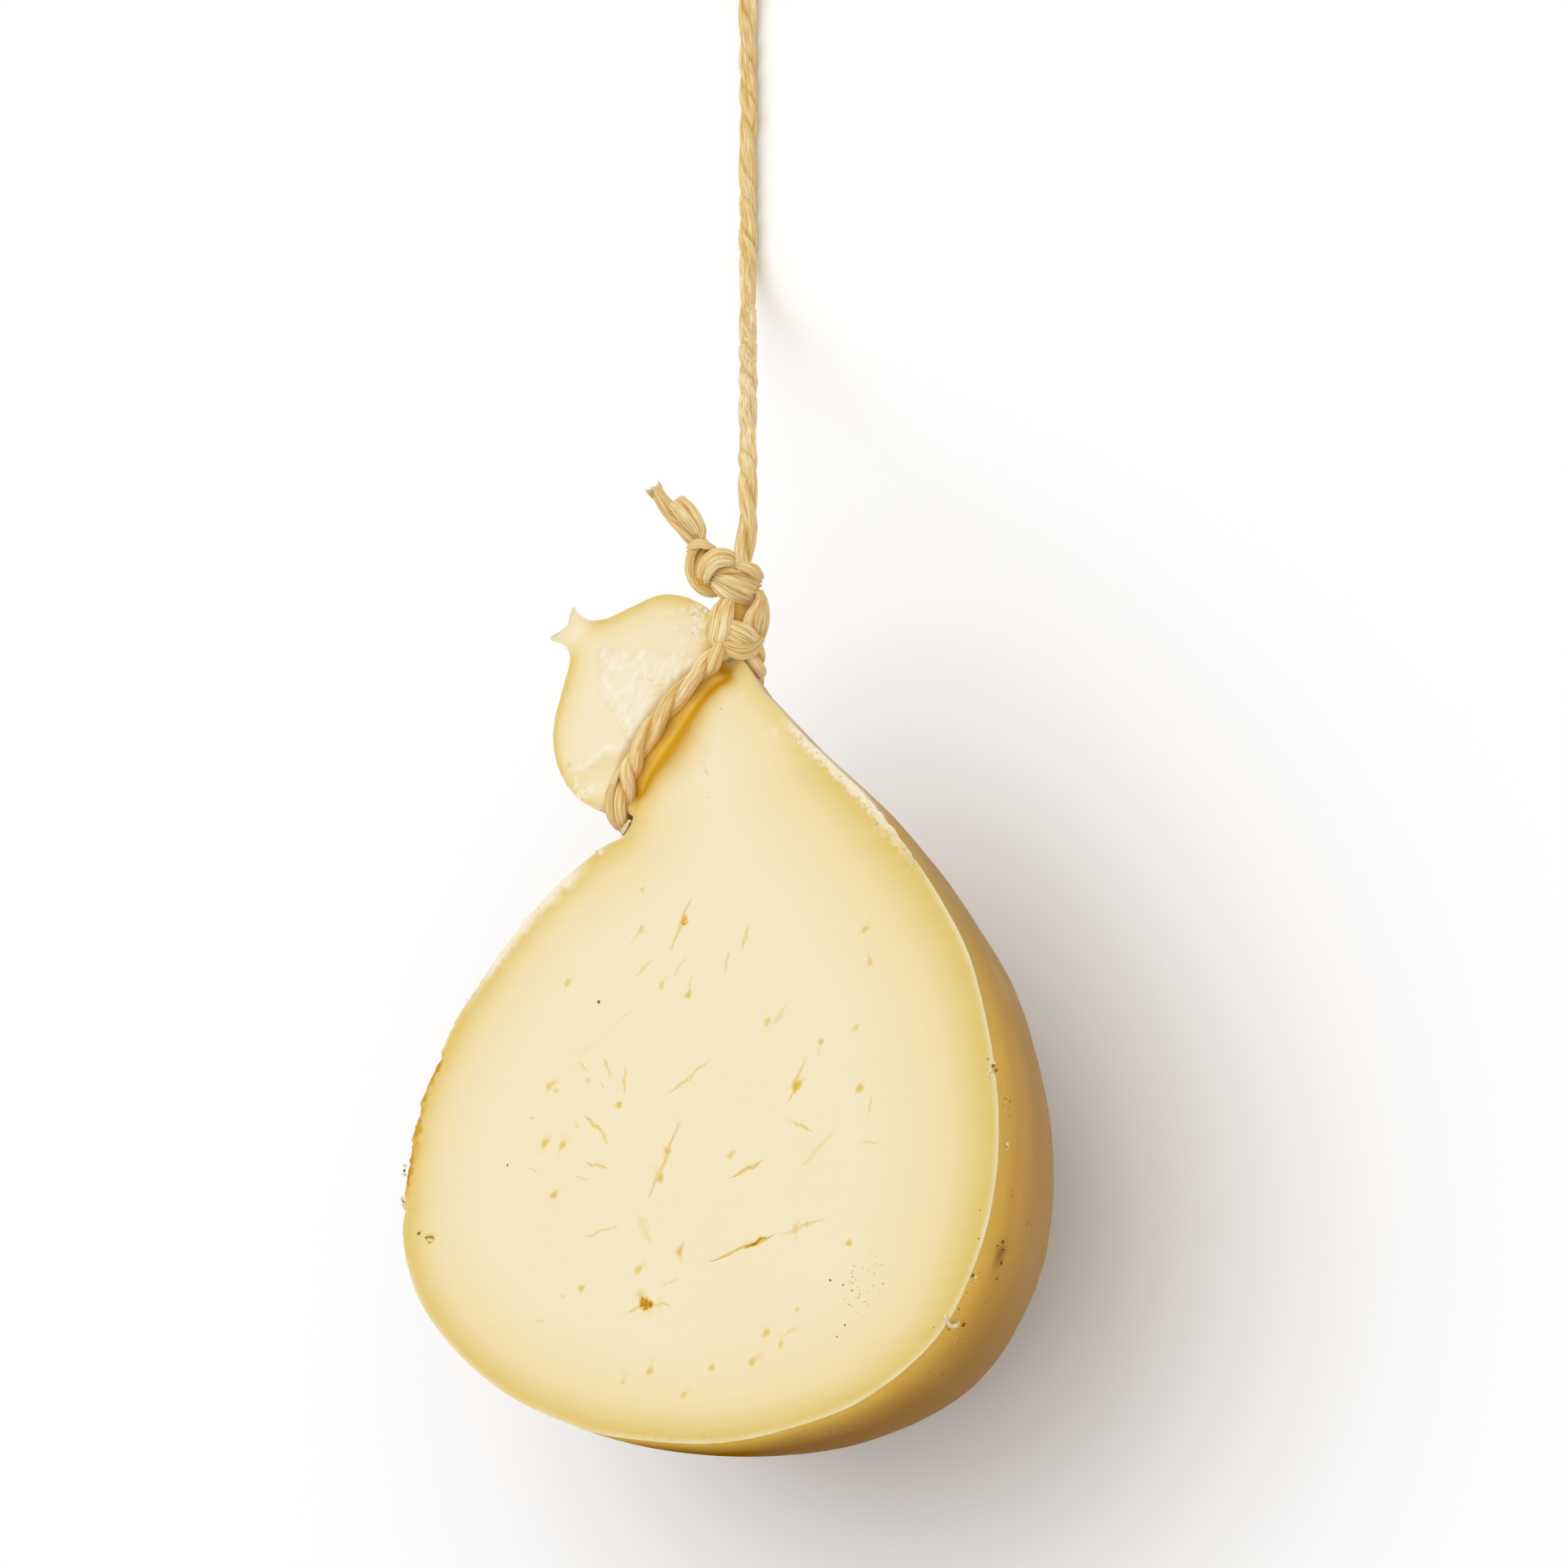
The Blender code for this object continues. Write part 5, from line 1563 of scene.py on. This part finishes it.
# Finer ones strewn inside four stretches of the rim, most of them close to it
foot_line = [(-14.0, -65.4), (-4.6, -67.3), (8.0, -68.9), (20.0, -68.4)]
head_line = [(1.8, 134.0), (1.2, 128.0)]
for line, count, inward, spread, largest in (
    (burr_line, 110, (-0.75, -0.66), 2.0, 0.34),
    (upper_left_line, 34, (0.66, -0.75), 1.6, 0.20),
    (foot_line, 34, (-0.05, 1.0), 0.9, 0.20),
    (head_line, 22, (-1.0, 0.1), 3.0, 0.30),
):
    for _ in range(count):
        start = crumb_draw.randrange(len(line) - 1)
        share = crumb_draw.random()
        gap = 0.4 + spread * crumb_draw.random() ** 2
        spot = [a + (b - a) * share + step * gap for a, b, step in zip(line[start], line[start + 1], inward)]
        curd_rows.append((*spot, cut_height + 0.15, largest * (0.25 + 0.75 * crumb_draw.random() ** 3)))
crumbs("curd_crumbs", curd_rows, dry_curd, {"Flatness": 0.55, "Seed": 2})

rind_rows = [
    (-26.2, 41.5, 80.0, 0.42), (-44.6, 16.5, 80.0, 0.20), (-51.3, 6.3, 80.0, 0.30),
    (37.3, -36.3, 80.0, 0.30), (40.7, -37.9, 80.0, 0.22), (43.1, -39.6, 80.0, 0.22),
    (41.1, -47.3, 80.0, 0.22), (39.0, -49.6, 80.0, 0.20), (-2.7, 56.0, 79.8, 0.34),
    (7.5, 107.4, 80.0, 0.16), (3.8, 86.1, 80.0, 0.14), (80.4, 6.3, 80.1, 0.40), (81.0, 5.2, 79.6, 0.35),
    (79.1, 8.2, 80.0, 0.25), (80.4, -20.8, 72.8, 0.22), (80.2, -21.9, 72.3, 0.20),
    (77.6, -32.0, 72.0, 0.42), (77.2, -33.5, 71.0, 0.34), (75.7, -36.0, 69.8, 0.45),
    (74.2, -39.2, 69.2, 0.35), (74.0, -41.0, 79.3, 0.45), (68.4, -50.1, 73.9, 0.50),
    (-81.4, 10.4, 79.5, 0.45), (-81.9, 2.8, 79.1, 0.42), (-74.3, -7.4, 79.9, 0.42),
    (-72.4, -8.8, 79.8, 0.36), (-73.9, -9.0, 79.8, 0.30), (-76.6, -6.0, 79.8, 0.34),
    (70.0, -47.9, 78.5, 0.20), (72.1, -44.5, 78.4, 0.13), (73.2, -42.4, 77.3, 0.12),
    (74.5, -39.8, 76.6, 0.14), (71.3, -44.4, 69.3, 0.12), (68.1, -50.6, 77.7, 0.15),
    (67.0, -52.0, 78.0, 0.18), (68.0, -50.4, 74.0, 0.12), (78.0, -25.4, 62.2, 0.22),
    (80.1, 5.1, 67.6, 0.20), (81.5, -4.9, 74.6, 0.18), (81.5, -0.5, 76.9, 0.14),
    (64.3, -51.6, 80.0, 0.14), (76.2, -33.1, 80.0, 0.20), (76.6, -26.6, 80.0, 0.18),
    (77.2, -33.3, 73.6, 0.26),
]
# Dust on the right rim, and a loose cloud of it low on the face
dust_middle = (46.2, -38.8)
for _ in range(9):
    rind_rows.append((81.6, crumb_draw.uniform(-7.0, -0.5), crumb_draw.uniform(74.5, 78.0), 0.14))
for _ in range(46):
    swing = crumb_draw.uniform(0, math.tau)
    reach = crumb_draw.uniform(0.1, 1) ** 0.7
    east = dust_middle[0] + reach * (5.0 * math.cos(swing) + 2.0 * math.sin(swing))
    north = dust_middle[1] + reach * (7.2 * math.sin(swing) - 1.0 * math.cos(swing))
    rind_rows.append((east, north, 80.0, crumb_draw.uniform(0.06, 0.16)))
crumbs("rind_specks", rind_rows, dark_rind, {"Flatness": 0.35, "Seed": 9})

curl_route = [
    (67.5, -49.3, 80.4), (67.9, -49.9, 80.7), (68.1, -50.7, 80.4), (68.0, -51.3, 79.3),
    (68.3, -51.4, 78.1), (68.9, -50.9, 77.2), (69.2, -50.4, 76.9),
]
curl = curve_through([placed(*spot) for spot in curl_route], 6)
curl_shares = np.linspace(0, 1, len(curl))
curl_widths = np.interp(curl_shares, (0, 0.3, 0.7, 1), (0.16, 0.26, 0.50, 0.25)) * mm
shaving = bundles_object(
    "curd_shaving",
    [ribbon(curl, curl_widths, placed(66.0, -50.0, 77.0), flat=0.35, seed=31, ragged=0.0001)],
    dry_curd,
)
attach(shaving, "root")


# The twine round the neck. The same raffia, pulled so tight round the neck that it has sunk into
# the curd: over the cut face in front, round the left, and back under the cheese to the knot.

loop_gap = 0.5
loop_ends = [(7.9, 118.7, 83.8), (14.1, 118.8, 74.7)]
into_lower_knot = [(10.6, 121.6, 82.9), (14.6, 121.8, 78.2)]
loop_start = 58
loop_sweep = 288
loop_stations = 20


def neck_section(angle):
    """A place on the neck's rounded section, as millimetres along the neck's line and height."""
    across = math.cos(angle)
    edge = cut_height - neck_sink - neck_corner_drop
    if math.sin(angle) >= 0:
        drop = neck_corner_drop * float(drop_to_edge(np.array(across)))
        return Vector((neck_half_width * across, cut_height - neck_sink - drop))
    across = math.copysign(abs(across) ** (2 / rind_squareness), across)
    down = abs(math.sin(angle)) ** (2 / rind_squareness)
    return Vector((neck_half_width * across, edge - (edge - cut_height + neck_depth) * down))


def neck_twine_path():
    """Once round the neck, over the cut face first, with both ends in the lower knot."""
    clear = twine_diameter / mm / 2 + loop_gap
    points = [placed(*into_lower_knot[0]), placed(*loop_ends[0])]
    for station in range(loop_stations):
        angle = math.radians(loop_start + loop_sweep * station / (loop_stations - 1))
        here = neck_section(angle)
        way = neck_section(angle + 0.05) - neck_section(angle - 0.05)
        here += Vector((way.y, -way.x)).normalized() * clear
        if math.sin(angle) > 0:
            bend = float(twine_line(np.array(neck_half_width * math.cos(angle))))
        else:
            bend = rind_bend_height * math.sin(angle)
        spot = neck_middle + neck_along * here.x + neck_out * bend
        points.append(placed(*spot, here.y))
    points += [placed(*loop_ends[1]), placed(*into_lower_knot[1])]
    return curve_through(points, 5)


neck_sizes = {"Ply Radius": 0.00172, "Lay Radius": 0.00086, "Splay": 0.5}
neck_twine = grow(
    "neck_raffia",
    line_data("neck raffia", neck_twine_path()),
    twine_tree,
    {**twine_sizes, **neck_sizes, "Start Turn": 0.62, "Seed": 7.0},
    raffia,
)
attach(neck_twine, "root")
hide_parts("neck_loop")

# One bundle of fibres has slipped out of it where it bends over the head's edge
bend = placed(-20.8, 85.6, 76.3)
slipped_route = [
    (-0.7, 14.8, -0.8), (-3.0, 10.8, -0.9), (-4.5, 6.4, -0.6),
    (-4.4, 2.6, -0.4), (-3.0, 0.0, -0.9), (-1.2, -1.4, -1.6),
]
slipped_path = curve_through([bend + seen_axes @ Vector(place) * mm for place in slipped_route], 8)
slipped_widths = swell(len(slipped_path), 0.5, 2.2, 0.7)
slipped = ribbon(slipped_path, slipped_widths, bend - seen_out * 0.003, flat=0.6, seed=51)
slipped = bundles_object("slipped_fibres", [slipped], raffia)
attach(slipped, "root")


# The knots. Both ends of the neck's twine are tied in an overhand knot beside the neck, and again
# above it where the hanging twine leaves. Pulled tight, the plies lie as flat ribbons with bared
# fibres, and the ends were cut off short: one has folded over and the other has frayed.

# Ribbons of each knot: half width, flatness, how dark its painted shade is, and places across, up
# and towards the eye
upper_knot = (11.6, 138.8, 85.5)
upper_ribbons = [
    (
        (3.0, 4.4, 4.4, 3.0), 0.70, 0.85,
        ((-3.6, 2.6, -0.6), (-1.2, 0.8, -0.2), (1.6, -0.8, -0.2), (4.2, -2.4, -0.6)),
    ),
    (
        (1.6, 2.2, 2.4, 1.8), 0.60, 0.84,
        ((-4.6, 5.6, 0.2), (-6.0, 1.6, 0.6), (-5.0, -2.4, 0.2), (-1.4, -3.4, -0.4)),
    ),
    (
        (0.5, 0.9, 1.0, 0.6), 0.60, 1.0,
        ((-6.4, 0.2, 1.1), (-6.0, -2.0, 1.2), (-4.5, -3.5, 1.0), (-1.9, -3.9, 0.2)),
    ),
    (
        (1.1, 1.5, 1.6, 1.6, 1.5, 1.4, 1.1), 0.60, 0.0,
        (
            (-4.6, 7.4, 0.9), (-7.0, 5.2, 1.0), (-7.9, 1.8, 0.6), (-7.2, -1.6, 0.2),
            (-5.0, -3.9, 0.0), (-2.4, -4.6, -0.3), (0.2, -3.8, -1.0),
        ),
    ),
    (
        (0.9, 1.5, 1.7, 1.3), 0.55, 0.0,
        ((-8.0, 5.8, 0.4), (-6.2, 6.8, 1.9), (-4.0, 6.6, 2.0), (-2.2, 5.4, 0.6)),
    ),
    (
        (1.2, 2.2, 2.8, 2.8, 2.2, 1.4), 0.46, 0.0,
        (
            (3.9, 1.8, 1.2), (1.2, 3.4, 2.9), (-1.6, 3.3, 3.6), (-3.6, 1.7, 3.4),
            (-4.6, -0.4, 2.6), (-4.4, -2.2, 1.4),
        ),
    ),
    (
        (1.4, 2.0, 2.2, 1.4), 0.46, 0.0,
        ((-2.4, -0.7, 2.2), (1.3, -0.5, 3.0), (4.9, -1.1, 3.0), (8.5, -2.2, 1.0)),
    ),
    (
        (1.2, 2.0, 2.4, 1.6), 0.46, 0.0,
        ((-1.9, -1.4, 2.4), (1.4, -2.6, 3.7), (4.8, -4.2, 3.5), (7.9, -5.4, 1.4)),
    ),
    (
        (1.2, 1.9, 2.3, 1.6), 0.46, 0.0,
        ((-2.6, -1.8, 1.9), (0.2, -4.4, 3.2), (3.2, -6.4, 2.9), (6.6, -7.3, 0.8)),
    ),
    (
        (1.0, 1.5, 1.6, 1.1), 0.50, 0.0,
        ((3.6, 1.8, 3.6), (5.6, 1.3, 4.5), (7.5, 0.3, 3.9), (8.9, -1.2, 1.6)),
    ),
]
tail_ribbons = [
    (
        (1.7, 2.0, 2.0, 2.0, 2.0, 1.9), 0.42, 0.0,
        (
            (-5.4, 6.4, -0.2), (-8.0, 9.4, -0.4), (-10.9, 12.6, -0.9), (-13.4, 15.9, -1.1),
            (-15.3, 18.7, -1.3), (-16.1, 20.0, -1.4),
        ),
    ),
    (
        (1.2, 1.6, 2.2, 2.8, 2.8, 2.5, 2.1), 0.50, 0.0,
        (
            (-4.4, 6.4, 0.2), (-5.2, 9.2, 1.1), (-6.8, 11.8, 1.5), (-8.5, 14.0, 1.5),
            (-9.7, 15.4, 1.3), (-10.5, 16.2, 1.1), (-11.0, 16.8, 0.8),
        ),
    ),
    (
        (0.4, 0.5, 0.5, 0.3), 0.60, 0.9,
        ((-6.2, 9.6, 1.0), (-8.0, 11.9, 1.2), (-9.6, 13.6, 1.0), (-11.2, 15.2, 0.4)),
    ),
]
lower_knot = (13.1, 125.4, 81.8)
lower_ribbons = [
    (
        (3.0, 4.2, 4.2, 2.8), 0.70, 0.86,
        ((-1.8, 6.4, -1.4), (-0.6, 3.0, -0.6), (0.8, -0.4, -0.4), (1.8, -3.6, -0.8)),
    ),
    (
        (2.4, 2.9, 2.6, 1.6), 0.60, 0.25,
        ((2.8, -3.0, -1.6), (3.0, -6.4, -2.6), (3.7, -9.8, -4.0), (4.8, -13.6, -5.6)),
    ),
    (
        (1.0, 1.2, 1.3, 1.4, 1.1), 0.60, 0.0,
        ((5.9, 7.6, -0.6), (6.6, 5.4, 0.3), (6.6, 2.6, 0.5), (6.0, -0.4, 0.3), (5.2, -2.8, -0.4)),
    ),
    (
        (1.4, 1.8, 2.3, 2.9, 3.1, 2.7), 0.40, 0.0,
        (
            (5.2, 9.0, -0.8), (5.9, 6.8, 0.4), (5.3, 4.7, 1.3), (4.4, 2.8, 1.8),
            (3.8, 0.8, 1.5), (3.7, -1.2, 0.6),
        ),
    ),
    (
        (1.6, 2.8, 3.5, 3.6, 3.0, 1.8), 0.44, 0.0,
        (
            (-2.2, 7.5, -0.6), (-3.2, 5.2, 1.2), (-3.7, 3.0, 2.2), (-4.1, 0.4, 2.5),
            (-4.6, -2.0, 1.8), (-4.2, -4.2, 0.4),
        ),
    ),
    (
        (1.6, 2.5, 2.6, 2.0, 1.0), 0.44, 0.0,
        ((-4.2, 0.8, 2.4), (-1.4, 0.0, 3.6), (1.6, -1.4, 3.8), (3.7, -2.8, 2.8), (5.0, -3.9, 0.8)),
    ),
    (
        (1.6, 2.2, 2.5, 2.3, 1.9, 1.2), 0.46, 0.0,
        (
            (-4.9, -2.0, 1.4), (-2.9, -3.8, 2.4), (0.1, -4.9, 2.8), (2.8, -4.8, 2.5),
            (4.8, -3.6, 1.8), (5.9, -1.6, 0.4),
        ),
    ),
]


def along_path(values, steps):
    """Values given at each place of a path, at all the steps of the smooth curve through it."""
    spots = np.linspace(0, len(values) - 1, (len(values) - 1) * steps + 1)
    return [float(value) for value in np.interp(spots, np.arange(len(values)), values)]


ribbon_steps = 8
heart_depth = 0.0030


def knot_ribbons(knot, rows, seed, ragged=0.0007):
    """A knot's ribbons, their flat sides away from a heart that lies behind its middle."""
    centre = placed(*knot)
    heart = centre - seen_out * heart_depth
    made = []
    for row, (halves, flat, dark, places) in enumerate(rows):
        path = [centre + seen_axes @ Vector(place) * mm for place in places]
        path = curve_through(path, ribbon_steps)
        widths = [half * mm for half in along_path(halves, ribbon_steps)]
        made.append(ribbon(path, widths, heart, flat=flat, dark=dark, seed=seed + row, ragged=ragged))
    return made


# Loose fibres at the frayed end: each starts inside it and splays out
tail_end = Vector((-15.2, 18.5, -1.3))
tail_along = Vector((-0.56, 0.83, 0))
tail_across = Vector((0.83, 0.56, 0))
fray_count = 26
fray = []
fray_draw = random.Random(4)
for _ in range(fray_count):
    side = fray_draw.uniform(-1, 1)
    start = tail_end + tail_across * side * 1.7
    way = tail_along + tail_across * (0.14 * side + fray_draw.uniform(-0.12, 0.12))
    way += Vector((0, 0, fray_draw.uniform(-0.3, 0.3)))
    reach = fray_draw.uniform(1.6, 2.7)
    places = [start + way * reach * share for share in (0, 0.4, 0.75, 1)]
    fray.append(((0.13, 0.12, 0.09, 0.04), 0.8, 0.0, tuple(places)))


knots = bundles_object(
    "tied_knots",
    knot_ribbons(upper_knot, upper_ribbons, 20)
    + knot_ribbons(upper_knot, tail_ribbons, 40, ragged=0.0002)
    + knot_ribbons(upper_knot, fray, 90, ragged=0.0)
    + knot_ribbons(lower_knot, lower_ribbons, 60),
    raffia,
)
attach(knots, "root")
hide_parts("knots")
